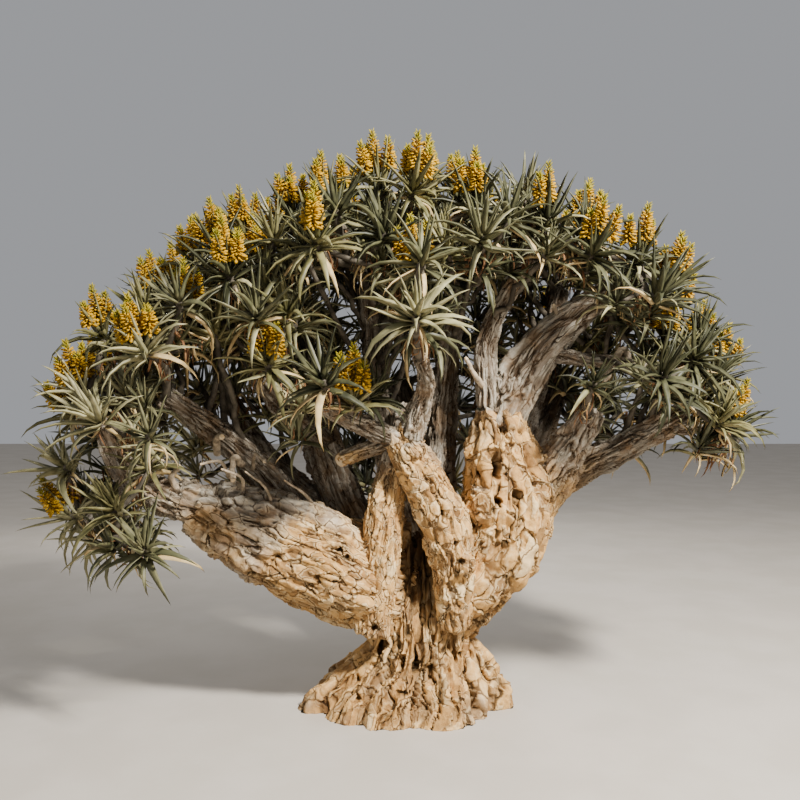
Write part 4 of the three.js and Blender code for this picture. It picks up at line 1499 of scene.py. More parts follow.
@dataclass
class BarkSkin:
    """Cracked, plated bark grown over a group of limbs."""

    voxel: dict[Bark, float] = field(default_factory=lambda: {
        Bark.TRUNK: .0085, Bark.LEFT: .008, Bark.RIGHT: .008, Bark.FRONT: .007, Bark.GREY: .0075,
        Bark.INNER: .0125})
    soften: int = 4
    spine_step: float = .03
    chunk: int = 6000
    cell_share: float = .3
    cell_least: float = .026
    cell_most: float = .06
    golden_stretch: float = 1.35
    grey_stretch: float = 3.4
    flare_core: float = .26
    flare_share: float = .18
    flare_run: float = .8
    # Strengths of the painted shade on the inner boughs high in the crown and on undersides
    inner_shade: float = .42
    under_shade: float = .32
    top_grey: float = .4
    foot_grey: float = .2
    girths: Span = (.03, .22)
    foot_girth: float = .45
    limb_shift: float = 7.3
    trunk_marks: dict[str, float] = field(default_factory=lambda: {
        "radius": .2, "grey": .1, "fibrous": .55, "cell": .056, "stretch": 3.0})
    depths: dict[Bark, dict[str, float]] = field(default_factory=lambda: {
        Bark.TRUNK: {"Lump Depth": .03, "Layer Lift": .04, "Ridge Depth": .13, "Fibre Depth": .07,
                     "Crevice Depth": .03, "Fold Depth": .07, "Flake Lift": .006},
        Bark.LEFT: {"Flake Lift": .01},
        Bark.RIGHT: {"Flake Lift": .028, "Crack Depth": .022, "Lump Depth": .1},
        Bark.FRONT: {"Flake Lift": .018, "Crack Depth": .02},
        Bark.GREY: {"Fibre Depth": .05}})
    pattern: BarkPattern = BarkPattern()
    relief: GrowthTree = field(init=False)

    def __post_init__(self) -> None:
        """Builds the relief's node tree and its finish."""
        self.relief = self.relief_tree()
        self.finish = BarkFinish().build()

    def relief_tree(self) -> GrowthTree:
        """The node tree that raises flakes, ridges and lumps and opens cracks.

        Returns:
            The tree.
        """
        growth = GrowthTree("bark_relief")
        sheet = growth.sheet
        crack, seam, flake, layer, ridge, lump, fibre, crevice, fold = (
            growth.size(name, value) for name, value in RELIEF.items())
        place = growth.attribute("bark_place", "FLOAT_VECTOR")
        girth, fibrous = growth.attribute("girth"), growth.attribute("fibrous")
        marks = self.pattern.lay(sheet, place)
        raised = (
            marks.crack * (crack * -1.0), marks.seam * (seam * -1.0), marks.crevice * (crevice * -1.0),
            marks.shingle * flake * (1.0 - fibrous * .7), (marks.layer - .5) * layer,
            (sheet.noise(sheet.vector("MULTIPLY", place, (1, 1, .3)), .5) - .5) * ridge,
            (sheet.noise(sheet.out("GeometryNodeInputPosition"), 4.2) - .5) * lump,
            (marks.fibre - .5) * fibrous * fibre, (marks.fold - .7) * fibrous * fold)
        share = sum(raised[1:], raised[0]) * (girth * 4.2 + .14)
        offset = sheet.scaled(sheet.out("GeometryNodeInputNormal"), share)
        growth.close(sheet.out("GeometryNodeSetPosition", {"Geometry": growth.start, "Offset": offset}))
        return growth

    def grow(self, piece: Bark) -> Item:
        """Makes one bark piece over its limbs.

        Args:
            piece: Which piece.

        Returns:
            The finished piece.
        """
        limbs = [limb for limb in LIMBS if limb.piece is piece]
        tubes = [TRUNK.tube()] if piece is Bark.TRUNK else [limb.tube() for limb in limbs]
        tubes += [knot.ball() for knot in KNOTS.get(piece, [])]
        faces, count = [], 0
        for points, sides in tubes:
            faces += [tuple(i + count for i in face) for face in sides]
            count += len(points)
        vertices = np.concatenate([points for points, _ in tubes])
        host = linked(mesh_object("limb_tubes", vertices, faces))
        remesh = host.modifiers.new("skin", "REMESH")
        remesh.mode, remesh.voxel_size = "VOXEL", self.voxel[piece]
        soften = host.modifiers.new("soften", "SMOOTH")
        soften.factor, soften.iterations = .5, self.soften
        skin = settle(host, "limb_skin")
        self.mark(skin.data, piece, limbs)
        made = self.relief.run(skin, piece.value, {"Finish": self.finish, **self.depths.get(piece, {})})
        self.level(made.data)
        solids = ["trunk"] if piece is Bark.TRUNK else [limb.name for limb in limbs]
        return enter(made, solids)

    def spine(self, piece: Bark, limbs: list[Limb]) -> dict[str, Array]:
        """Samples along the axes of a piece's limbs.

        Args:
            piece: Which piece.
            limbs: Its limbs.

        Returns:
            Arrays of each sample's place, frame, radius, run, greyness, cell and stretch.
        """
        rows: list[dict[str, Array]] = []
        if piece is Bark.TRUNK:
            z = np.arange(0, TRUNK_TOP, self.spine_step)
            frame_ways = (("tangent", UP), ("normal", [1.0, 0, 0]), ("binormal", [0, 1.0, 0]))
            rows.append({"at": np.column_stack([TRUNK.section(z)[0], 0 * z, z]), "run": z, "shift": 0 * z,
                         **{key: np.tile(way, (len(z), 1)) for key, way in frame_ways},
                         **{key: np.full_like(z, value) for key, value in self.trunk_marks.items()}})
        for number, limb in enumerate(limbs):
            length = limb.curve.lengths[-1]
            share = np.linspace(0, 1, max(6, int(length / self.spine_step)))
            at, tangent, normal, binormal = limb.curve.rings(share)
            radius, ones = limb.radius_at(share), np.ones_like(share)
            cell = np.clip(self.cell_share * radius.mean(), self.cell_least, self.cell_most) * limb.flake
            grey = limb.grey_foot + (limb.grey_tip - limb.grey_foot) * (
                share if limb.greys == (0, 1) else smooth_step(share, *limb.greys))
            golden, gained = self.golden_stretch, self.grey_stretch - self.golden_stretch
            stretch = golden + gained * smooth_step(grey, .2, .7)
            rows.append({"at": at, "tangent": tangent, "normal": normal, "binormal": binormal,
                         "radius": radius, "run": share * length, "grey": grey,
                         "fibrous": .12 + .88 * smooth_step(grey, .1, .75),
                         "cell": ones * cell, "stretch": ones * stretch.mean(),
                         "shift": ones * (number + 1) * self.limb_shift})
        return {key: np.concatenate([row[key] for row in rows]) for key in rows[0]}

    def mark(self, mesh: bpy.types.Mesh, piece: Bark, limbs: list[Limb]) -> None:
        """Gives every point its place along its limb, its girth, its greyness and its painted shade, and
        presses the hollows in.

        Args:
            mesh: The smooth skin.
            piece: Which piece it is.
            limbs: The piece's limbs.
        """
        spine = self.spine(piece, limbs)
        count = len(mesh.vertices)
        points, normals = np.empty((count, 3)), np.empty((count, 3))
        mesh.vertices.foreach_get("co", points.ravel())
        mesh.vertices.foreach_get("normal", normals.ravel())
        nearest = np.empty(count, int)
        for start in range(0, count, self.chunk):
            gaps = norm(points[start:start + self.chunk, None] - spine["at"], axis=2)
            nearest[start:start + self.chunk] = (gaps - spine["radius"]).argmin(axis=1)
        near = {key: value[nearest] for key, value in spine.items()}
        offset = points - near["at"]
        along = near["run"] + (offset * near["tangent"]).sum(axis=1)
        across = np.column_stack([(offset * near[key]).sum(axis=1) for key in ("normal", "binormal")])
        if piece is Bark.TRUNK:
            reach = norm(across, axis=1)
            across *= (self.flare_core / np.maximum(reach, .05) + self.flare_share)[:, None]
            along -= self.flare_run * (reach - self.flare_core)
        place = np.column_stack([across / near["cell"][:, None],
                                 along / (near["cell"] * near["stretch"])]) + near["shift"][:, None]
        high = points[:, 2]
        grey = near["grey"] + self.top_grey * smooth_step(normals[:, 2], .25, .9) * smooth_step(high, .6, 1.1)
        grey += self.foot_grey * (1 - smooth_step(high, .02, .24))
        # Painted shade: undersides darker, inner boughs darker high in the crown, and the pressed hollows
        # below; deep carries it to the bark finish
        deep = self.under_shade * smooth_step(-normals[:, 2], .2, .8)
        if piece is Bark.INNER:
            deep = np.maximum(deep, self.inner_shade * smooth_step(high, 1.2, 1.8))
        ahead = smooth_step(-normals[:, 1], .05, .3)
        # Each of the hollows is pressed in and darkened with painted shade
        for hollow_shade in HOLLOWS.get(piece, []):
            gap = np.hypot((points[:, 0] - hollow_shade.right) / hollow_shade.half_wide,
                           (points[:, 2] - hollow_shade.high) / hollow_shade.half_high)
            press = ahead * (1 - smooth_step(gap, .35, 1.1))
            points[:, 1] += press * hollow_shade.depth
            deep = np.maximum(deep, press * hollow_shade.painted_shade)
        mesh.vertices.foreach_set("co", points.ravel())
        girth = np.clip(near["radius"], *self.girths)
        if piece is Bark.TRUNK:
            girth *= self.foot_girth + (1 - self.foot_girth) * smooth_step(high, .0, .16)
        give(mesh, "bark_place", place, "FLOAT_VECTOR")
        for name, values in (("deep", deep), ("girth", girth), ("grey", np.clip(grey, 0, 1)),
                             ("fibrous", near["fibrous"])):
            give(mesh, name, values)

    def level(self, mesh: bpy.types.Mesh) -> None:
        """Brings every point below the cut up to the ground.

        Args:
            mesh: A finished bark piece.
        """
        points = np.empty((len(mesh.vertices), 3), np.float32)
        mesh.vertices.foreach_get("co", points.ravel())
        points[:, 2] = np.maximum(points[:, 2], 0)
        mesh.vertices.foreach_set("co", points.ravel())
        mesh.update()


@dataclass(frozen=True)
class BladeForm:
    """The outline of one leaf, drawn one unit long along +X, upper side +Z."""

    shape: LeafShape
    bend: float
    tip_bend: float
    twist: float
    half_width: float
    fold: float = .34
    stations: tuple[float, ...] = (0, .16, .38, .62, .83, 1)
    widths: tuple[float, ...] = (.85, 1, .88, .64, .34, 0)
    keel: float = .12

    def build(self) -> Item:
        """The leaf as a closed mesh of a few dozen faces.

        Returns:
            The object, outside the scene.
        """
        t = np.array(self.stations, float)
        pitch, roll = np.radians(self.bend * t + self.tip_bend * t ** 3), np.radians(self.twist * t)[:, None]
        along = np.column_stack([np.cos(pitch), 0 * t, -np.sin(pitch)])
        place = np.cumsum(along * np.diff(t, prepend=0.0)[:, None], axis=0)
        upper = np.column_stack([np.sin(pitch), 0 * t, np.cos(pitch)])
        side = np.array([0, 1.0, 0]) * np.cos(roll) + upper * np.sin(roll)
        width = self.half_width * np.array(self.widths)[:, None]
        across, rise = side * width, np.cross(along, side) * width
        rings = np.stack([place + across + rise * self.fold, place, place - across + rise * self.fold,
                          place - rise * (self.fold + self.keel)], axis=1)
        points = np.concatenate([rings[:-1].reshape(-1, 3), place[-1:]])
        rows = len(t) - 1
        faces = [(3, 2, 1, 0)]
        for row in range(rows - 1):
            for k in range(4):
                a, b = row * 4 + k, row * 4 + (k + 1) % 4
                faces.append((b, b + 4, a + 4, a))
        last_row = (rows - 1) * 4
        faces += [(last_row + (k + 1) % 4, rows * 4, last_row + k) for k in range(4)]
        return mesh_object(f"{self.shape.value}_{self.shape.name.lower()}", points, faces)


@dataclass(frozen=True)
class FloretForm:
    """One tubular flower or bud, drawn one unit long along +X."""

    shape: FloretShape
    stations: tuple[float, ...]
    radii: tuple[float, ...]
    sides: int = 3

    def build(self) -> Item:
        """The floret as a closed mesh.

        Returns:
            The object, outside the scene.
        """
        turn = around(self.sides)
        points = [np.array([t, r * math.cos(a), r * math.sin(a)])
                  for t, r in zip(self.stations, self.radii) for a in turn]
        faces: list[tuple[int, ...]] = [tuple(range(self.sides))[::-1]]
        for row in range(len(self.stations) - 1):
            for k in range(self.sides):
                a, b = row * self.sides + k, row * self.sides + (k + 1) % self.sides
                faces.append((a, b, b + self.sides, a + self.sides))
        last = (len(self.stations) - 1) * self.sides
        faces.append(tuple(range(last, last + self.sides)))
        return mesh_object(f"{self.shape.value}_{self.shape.name.lower()}", points, faces)


LEAF_FORMS = tuple(BladeForm(*row) for row in (
    (LeafShape.HEART, -8, 14, 10, .047, .55),
    (LeafShape.SPREAD, -36, 24, -14, .052, .5),
    (LeafShape.SPREAD_TWISTED, 6, 34, 40, .052, .5),
    (LeafShape.ARCHING, 20, 46, 20, .055, .5),
    (LeafShape.ARCHING_TWISTED, 34, 62, -52, .054, .5),
    (LeafShape.HANGING, 26, 30, 70, .044, .6),
    (LeafShape.CURLED, 60, 150, -40, .044, .6)))
FLORET_FORMS = (
    FloretForm(FloretShape.FLOWER, (0, .4, 1), (.1, .17, .17)),
    FloretForm(FloretShape.BUD, (0, .4, 1), (.1, .18, .06)),
)


class Sprays:
    """Gathers many small repeated shapes and makes them into joined pieces."""

    def __init__(self, name: str, forms: tuple) -> None:
        """Builds the shapes and the tree that deals them out.

        Args:
            name: What the shapes are called together.
            forms: The shapes, in the order of their numbers.
        """
        self.forms = bpy.data.collections.new(name)
        for form in forms:
            self.forms.objects.link(form.build())
        self.rows: dict[object, list[tuple[Array, Array, Array, Array]]] = {}
        self.growth = GrowthTree(name + "_on_points")
        sheet = self.growth.sheet
        chosen = self.growth.size("Forms", kind="NodeSocketCollection")
        swell = self.growth.size("Growth", 1.0)
        source = sheet.out("GeometryNodeCollectionInfo", {"Collection": chosen, "Separate Children": True,
                                                          "Reset Children": True})
        self.growth.close(sheet.out("GeometryNodeInstanceOnPoints", {
            "Points": self.growth.start, "Instance": source, "Pick Instance": True,
            "Instance Index": self.growth.attribute("form", "INT"),
            "Rotation": self.growth.attribute("turn", "QUATERNION"),
            "Scale": sheet.scaled(self.growth.attribute("size", "FLOAT_VECTOR"), swell)}))

    def add(self, kind: object, places: Array, turns: Array, sizes: Array, forms: Array) -> None:
        """Adds shapes of one colour: where they start, their turns, sizes and shape numbers."""
        self.rows.setdefault(kind, []).append((places, turns, sizes, forms))

    def make(self, kind: object, name: str, finish: bpy.types.Material) -> Item:
        """Makes one colour's shapes into a piece.

        Args:
            kind: The colour.
            name: The piece's name.
            finish: Its material.

        Returns:
            The finished piece.
        """
        places, *marks = (np.concatenate(column) for column in zip(*self.rows[kind]))
        host = linked(mesh_object("spray_points", places))
        for values, mark in zip(marks, (("turn", "QUATERNION"), ("size", "FLOAT_VECTOR"), ("form", "INT"))):
            give(host.data, mark[0], values, mark[1])
        return self.growth.run(host, name, {"Forms": self.forms, "Finish": finish})

    def clear(self) -> None:
        """Removes the single shapes once every piece is made."""
        for source in list(self.forms.objects):
            bpy.data.objects.remove(source)
        bpy.data.collections.remove(self.forms)


class Rods:
    """Gathers thin round runs, such as twigs and flower stalks, into one piece."""

    def __init__(self, name: str, sides: int, knobs: float) -> None:
        """Builds the tree that follows the runs.

        Args:
            name: What the rods are.
            sides: How many sides a rod has.
            knobs: How far its skin is uneven, as a share of its radius.
        """
        self.points: list[Array] = []
        self.radii: list[Array] = []
        self.growth = GrowthTree(name + "_along_runs")
        sheet = self.growth.sheet
        count = self.growth.size("Sides", sides, "NodeSocketInt")
        uneven = self.growth.size("Knobs", knobs)
        curve = sheet.out("GeometryNodeMeshToCurve", {"Mesh": self.growth.start})
        circle = sheet.out("GeometryNodeCurvePrimitiveCircle", {"Resolution": count, "Radius": 1.0})
        noise = sheet.noise(sheet.out("GeometryNodeInputPosition"), 21, 2)
        width = self.growth.attribute("girth") * ((noise - .5) * uneven + 1.0)
        wide = sheet.out("GeometryNodeSetCurveRadius", {"Curve": curve, "Radius": width})
        rod = sheet.add("GeometryNodeCurveToMesh", {"Curve": wide, "Profile Curve": circle,
                                                    "Fill Caps": True})
        if "Scale" in rod.inputs:
            sheet.feed(rod.inputs["Scale"], sheet.out("GeometryNodeInputRadius"))
        self.growth.close(Wire(sheet, rod.outputs[0]))

    def add(self, points: Array, radii: Array) -> None:
        """Adds one run with its radius at each point."""
        self.points.append(points)
        self.radii.append(radii)

    def make(self, name: str, finish: bpy.types.Material) -> Item:
        """Makes every run into one piece.

        Args:
            name: The piece's name.
            finish: Its material.

        Returns:
            The finished piece.
        """
        edges, count = [], 0
        for run in self.points:
            edges += [(count + i, count + i + 1) for i in range(len(run) - 1)]
            count += len(run)
        host = linked(mesh_object("rod_runs", np.concatenate(self.points), edges=edges))
        give(host.data, "girth", np.concatenate(self.radii))
        return self.growth.run(host, name, {"Finish": finish})


def sweep(start: Array, leave: Array, end: Array, arrive: Array, count: int, pull: float = .9) -> Array:
    """A run that leaves one place and arrives at another in given directions.

    Args:
        start: The first point.
        leave: The direction there.
        end: The last point.
        arrive: The direction there.
        count: How many points it has.
        pull: How strongly the directions are followed.

    Returns:
        The points.
    """
    reach = norm(end - start) * pull
    t = np.linspace(0, 1, count)[:, None]
    return ((2 * t ** 3 - 3 * t ** 2 + 1) * start + (t ** 3 - 2 * t ** 2 + t) * leave * reach
            + (3 * t ** 2 - 2 * t ** 3) * end + (t ** 3 - t ** 2) * arrive * reach)


@dataclass(frozen=True)
class Snag:
    """A dead leafless branch: its run and how thick it is at both ends."""

    start: Triple
    bend: Triple
    tip: Triple
    thick: float
    thin: float


SNAGS = [Snag(*row) for row in (
    ((1.33, -.3, 2.15), (1.3, -.31, 2.225), (1.15, -.42, 2.02), .024, .02),
    ((.9, -.2, 2.33), (.92, -.23, 2.41), (.893, -.25, 2.49), .024, .012),
    ((1.06, -.22, 2.44), (1.13, -.28, 2.5), (1.17, -.31, 2.535), .034, .027),
    ((-1.0, -.2, 1.52), (-1.03, -.36, 1.575), (-1.02, -.42, 1.455), .02, .017),
    ((-1.16, -.2, 1.6), (-1.14, -.3, 1.69), (-1.1, -.35, 1.7), .026, .018),
    ((-.95, -.16, 1.5), (-.9, -.33, 1.6), (-.84, -.4, 1.56), .014, .007),
    ((-1.08, -.24, 1.45), (-1.1, -.4, 1.56), (-1.19, -.46, 1.55), .013, .007),
    ((-.98, -.3, 1.36), (-.97, -.44, 1.47), (-1.06, -.5, 1.52), .012, .006),
    ((-.8, -.3, 1.28), (-.84, -.42, 1.42), (-.93, -.47, 1.5), .011, .006),
    ((-1.36, -.32, 1.36), (-1.38, -.4, 1.47), (-1.33, -.43, 1.53), .022, .014),
    ((-1.55, -.35, 1.48), (-1.5, -.44, 1.56), (-1.42, -.47, 1.57), .018, .01),
    ((-.55, -.12, 1.22), (-.62, -.3, 1.36), (-.72, -.36, 1.44), .014, .006),
    ((.47, -.25, 2.0), (.4, -.36, 2.07), (.35, -.4, 2.16), .022, .012),
    ((-.3, -.05, 1.9), (-.36, -.2, 2.05), (-.33, -.24, 2.2), .016, .009))]


@dataclass
class DeadWood:
    """Dead grey branches with pale snapped ends."""

    end_length: float = .012
    stations: int = 14
    sides: int = 9
    wander: float = .16
    uneven: Span = (.88, 1.14)
    stub: str = "bough_broken_stub"
    seed: int = 5

    def grow(self) -> list[Item]:
        """Grows the dead branches.

        Returns:
            The finished pieces.
        """
        chance = np.random.default_rng(self.seed)
        branches, ends = Rods("dead_branches", self.sides, .5), Rods("snapped_ends", self.sides, .3)
        for snag in SNAGS:
            curve = LimbCurve(snag.start, snag.bend, snag.tip)
            points, tangents, _, _ = curve.rings(np.linspace(0, 1, self.stations))
            wander = chance.normal(0, snag.thin * self.wander, (self.stations, 3))
            radii = np.linspace(snag.thick, snag.thin, self.stations)
            radii *= chance.uniform(*self.uneven, self.stations)
            branches.add(points + wander, radii)
            last = points[-1] + wander[-1]
            ends.add(np.array([last, last + tangents[-1] * self.end_length]), radii[-1] * np.array([.94, .6]))
        stub = limb_named(self.stub)
        points, tangents, _, _ = stub.curve.rings(np.array([0.0, 1.0]))
        facing = unit(tangents[-1] + np.array([0, -.9, 0]))
        cap = points[-1] + facing * np.array([[-.02], [.012], [.02]])
        ends.add(cap, stub.radii[2] * np.array([.9, 1.02, .8]))
        return [enter(branches.make("dead_branches", DEAD_FINISH.build())),
                enter(ends.make("snapped_ends", SNAPPED_FINISH.build()))]


@dataclass
class Foliage:
    """Twigs, leaf rosettes, dead leaves and flowers grown on the crown's rule."""

    crown: CrownRule
    layouts: list[MassLayout]
    seed: int = 77
    leaf_length: float = .31
    young_share: float = .62
    full_from: float = .34
    least_polar: float = 8.0
    most_polar: float = 100.0
    openness: Span = (.78, 1.1)
    swept: float = .16
    droop: float = .08
    lift: float = 1.5
    follow: float = .3
    dead_leaves: int = 8
    dead_length: float = .2
    riser_share: float = .6
    riser_from: Span = (.4, .97)
    box_margin: float = .03
    leaf_checks: tuple[float, ...] = (.45, .75, 1.0)
    stalk_radius: float = .0065
    racemes: tuple[int, int] = (3, 5)
    raceme_length: float = .19
    floret_length: float = .046
    florets: int = 80
    buds_from: float = .72
    crotch_at: float = .075
    raceme_away: Span = (.05, .085)
    side_raceme: Span = (.68, .95)
    tilt: float = .22
    stem_sunk: float = .06
    stem_points: int = 9
    twig_points: int = 10
    riser_points: int = 12
    tip_lift: float = .02
    lead_twig: float = .021
    side_twig: float = .016
    riser_foot: Span = (.017, .026)
    riser_tip: float = .014
    riser_wander: float = .012
    front_before: float = .35
    flowers_above: float = .2
    # Chances of sage, olive, dull dark and pale leaves for the rule's rosettes and for finer ones; finer
    # rosettes sit further in and get more of the dark colour as painted shade
    tint_shares: tuple = ((.36, .2, .4, .04), (.26, .1, .62, .02))
    # Left: more pale leaves as painted light; right: more dull dark leaves as painted shade
    left_painted_light_shares: tuple = (.38, .26, .08, .28)
    right_painted_shade_shares: tuple = (.24, .12, .62, .02)

    def __post_init__(self) -> None:
        """Readies the shapes and the seeded source of chance."""
        self.chance = np.random.default_rng(self.seed)
        self.leaves = Sprays("leaf_forms", LEAF_FORMS)
        self.florets_of = Sprays("floret_forms", FLORET_FORMS)
        self.twigs = Rods("twigs", 7, .5)
        self.stalks = Rods("stalks", 5, .1)
        low, high = CAD_BOX
        self.low = np.array(low) - self.box_margin
        self.high = np.array(high) + self.box_margin

    def grow(self) -> None:
        """Grows everything that the masses carry."""
        self.choose_flowering()
        for layout in self.layouts:
            self.grow_stem(layout)
            for rosette in layout.rosettes:
                self.ready(rosette)
                if rosette.rank and self.chance.random() < self.riser_share:
                    self.grow_riser(layout, rosette)
                else:
                    self.grow_twig(layout, rosette)
                self.grow_leaves(rosette)
                self.grow_dead_leaves(rosette)
                if rosette.flowers:
                    self.grow_flowers(rosette)

    def choose_flowering(self) -> None:
        """Gives flowers to the front rosettes that stand nearest to the crown's flowering spots."""
        front = [r for layout in self.layouts for r in layout.rosettes if r.centre[1] < self.front_before]
        for spot in FLOWERING:
            gaps = [norm(seen_from_front(r.centre + UP * self.flowers_above) - spot) for r in front]
            front[int(np.argmin(gaps))].flowers = True

    def ready(self, rosette: Rosette) -> None:
        """Turns a rosette up to the light, outwards and on along its twig, and deals it a leaf colour, paler
        on the left as painted light and darker on the right and on finer rosettes as painted shade.

        Args:
            rosette: The rosette.
        """
        onward = unit(rosette.centre - rosette.twig_from)
        tilt = self.chance.normal(0, self.tilt, 3)
        rosette.axis = unit(self.crown.outward(rosette.centre) + UP * self.lift + onward * self.follow + tilt)
        shares = self.tint_shares[rosette.rank]
        # More pale leaves on the left as painted light, more dull dark ones on the right as painted shade
        if rosette.centre[0] < -.7:
            shares = self.left_painted_light_shares
        elif rosette.centre[0] > .9:
            shares = self.right_painted_shade_shares
        rosette.tint = list(Tint)[self.chance.choice(4, p=shares)]

    def grow_riser(self, layout: MassLayout, rosette: Rosette) -> None:
        """Grows a long thin branch from a mass's bough up to a rosette.

        Args:
            layout: The mass.
            rosette: The rosette.
        """
        bough = limb_named(layout.plan.bough)
        share = self.chance.uniform(*self.riser_from)
        at, tangent, _, _ = bough.curve.rings(np.array([0.0, share]))
        leave = unit(tangent[-1] * .5 + UP + .4 * unit(rosette.centre - at[-1]))
        count, tip = self.riser_points, rosette.centre + rosette.axis * self.tip_lift
        points = sweep(at[-1], leave, tip, rosette.axis, count, .7)
        wander = (self.chance.normal(0, self.riser_wander, (count, 3))
                  * np.sin(np.linspace(0, math.pi, count))[:, None])
        foot = self.chance.uniform(*self.riser_foot)
        self.twigs.add(points + wander, np.linspace(foot, self.riser_tip, count))

    def grow_stem(self, layout: MassLayout) -> None:
        """Grows the stem of a mass from inside its bough to its fork.

        Args:
            layout: The mass.
        """
        root = layout.start - layout.heading * self.stem_sunk
        onward = unit(layout.rosettes[0].centre - layout.fork)
        points = sweep(root, layout.heading, layout.fork, unit(onward + layout.heading), self.stem_points)
        self.twigs.add(points, np.linspace(layout.stem_radius * 1.08, layout.stem_radius * .92, len(points)))

    def grow_twig(self, layout: MassLayout, rosette: Rosette) -> None:
        """Grows the twig that carries a rosette.

        Args:
            layout: The mass.
            rosette: The rosette.
        """
        tip = rosette.centre + rosette.axis * self.tip_lift
        points = sweep(rosette.twig_from, rosette.twig_heading, tip, rosette.axis, self.twig_points)
        wide = self.lead_twig if rosette.rank == 0 else self.side_twig
        radii = np.linspace(min(layout.stem_radius * .9, wide * 1.2), wide, len(points))
        radii[-3:] *= (1.12, 1.2, 1.0)
        self.twigs.add(points, radii * rosette.size ** .5)

    def grow_leaves(self, rosette: Rosette) -> None:
        """Grows a rosette's living leaves in a spiral, the youngest innermost.

        Args:
            rosette: The rosette.
        """
        count, axis = rosette.leaves, rosette.axis
        age = (np.arange(count) + .5) / count
        spread = (self.most_polar - self.least_polar) * self.chance.uniform(*self.openness)
        polar = np.radians(self.least_polar + spread * age ** .82 + self.chance.normal(0, 13, count))
        sweep_to = self.chance.normal(0, self.swept, 3)
        radial = fan(axis, rosette.turn + np.arange(count) * GOLDEN_TURN + self.chance.normal(0, .3, count))
        along = unit(opened(axis, radial, polar) - UP * (self.droop * age)[:, None] + sweep_to * age[:, None])
        length = self.leaf_length * rosette.size * self.chance.uniform(.62, 1.14, count) * (
            self.young_share + (1 - self.young_share) * np.clip(age / self.full_from, 0, 1))
        base = (rosette.centre + axis * (.045 - .1 * age)[:, None] * rosette.size
                + radial * (.008 + .014 * age)[:, None])
        forms = np.clip((age * 3.4 + self.chance.normal(.4, .9, count)).astype(int), LeafShape.HEART.value,
                        LeafShape.ARCHING_TWISTED.value)
        tints = np.full(count, TINT_NUMBERS[rosette.tint])
        tints[(age > .8) & (self.chance.random(count) < .3)] = TINT_NUMBERS[Tint.PALE]
        tints[(age > .88) & (self.chance.random(count) < .34)] = TINT_NUMBERS[Tint.STRAW]
        width = length * self.chance.uniform(.95, 1.35, count)
        self.deal(base, along, axis + .02 * radial, length, width, forms, tints)

    def grow_dead_leaves(self, rosette: Rosette) -> None:
        """Grows the dry leaves that hang on the twig below a rosette.

        Args:
            rosette: The rosette.
        """
        count = self.dead_leaves if rosette.rank == 0 else self.dead_leaves - 2
        radial = fan(rosette.axis, self.chance.uniform(0, 2 * math.pi, count))
        back = self.chance.uniform(.05, .2, count)[:, None]
        base = rosette.centre + unit(rosette.twig_from - rosette.centre) * back + radial * .012
        along = unit(radial * .75 - UP * .9 - rosette.axis * .25 + self.chance.normal(0, .18, (count, 3)))
        length = self.dead_length * rosette.size * self.chance.uniform(.6, 1.15, count)
        forms = self.chance.integers(LeafShape.HANGING.value, LeafShape.CURLED.value + 1, count)
        tints = np.where(self.chance.random(count) < .3, TINT_NUMBERS[Tint.STRAW], TINT_NUMBERS[Tint.RUSSET])
        self.deal(base, along, radial, length, length, forms, tints)

    def deal(self, base: Array, along: Array, upper: Array, length: Array, width: Array,
             forms: Array, tints: Array) -> None:
        """Keeps the leaves that fit and gives each to its colour.

        Args:
            base: Where the leaves start.
            along: Which way they run.
            upper: Which way their upper sides face.
            length: Their lengths.
            width: What their outline's width is scaled by.
            forms: The numbers of their shapes.
            tints: The numbers of their colours.
        """
        keep = np.ones(len(base), bool)
        for share in self.leaf_checks:
            points = base + along * (length * share)[:, None]
            keep &= (points > self.low).all(axis=1) & (points < self.high).all(axis=1)
            gaps = norm(points[:, None] - self.crown.wood_at, axis=2) - self.crown.wood_radius
            keep &= gaps.min(axis=1) > 0.0
        turns = as_turns(along, np.broadcast_to(upper, along.shape))
        sizes = np.column_stack([length, width, width])
        for number, tint in enumerate(Tint):
            chosen = keep & (tints == number)
            if chosen.any():
                self.leaves.add(tint, base[chosen], turns[chosen], sizes[chosen], forms[chosen])

    def grow_flowers(self, rosette: Rosette) -> None:
        """Grows a branched flower stalk with several racemes.

        Args:
            rosette: The rosette.
        """
        heading = unit(rosette.axis + UP * self.crown.spike_rise)
        side, rise = square_to(heading)
        thick = self.stalk_radius
        crotch = rosette.centre + heading * self.crotch_at
        middle = rosette.centre + heading * .03
        self.stalks.add(np.array([rosette.centre, middle, crotch]), np.full(3, thick * 1.3))
        count = self.chance.integers(*self.racemes, endpoint=True)
        first = self.chance.uniform(0, 2 * math.pi)
        for k in range(count):
            turn = first + k * GOLDEN_TURN
            away = 0.0 if k == 0 else self.chance.uniform(*self.raceme_away)
            aside = (side * math.cos(turn) + rise * math.sin(turn)) * away
            foot = crotch + heading * (.05 if k == 0 else .02) + aside
            axis = unit(heading + UP * .25 + aside * 1.6)
            length = self.raceme_length * (1.0 if k == 0 else self.chance.uniform(*self.side_raceme))
            self.stalks.add(sweep(crotch, heading, foot, axis, 5), np.full(5, thick))
            run = foot + axis * length * np.array([[0], [.5], [.96]])
            self.stalks.add(run, thick * np.array([.8, .6, .3]))
            self.grow_raceme(foot, axis, length)

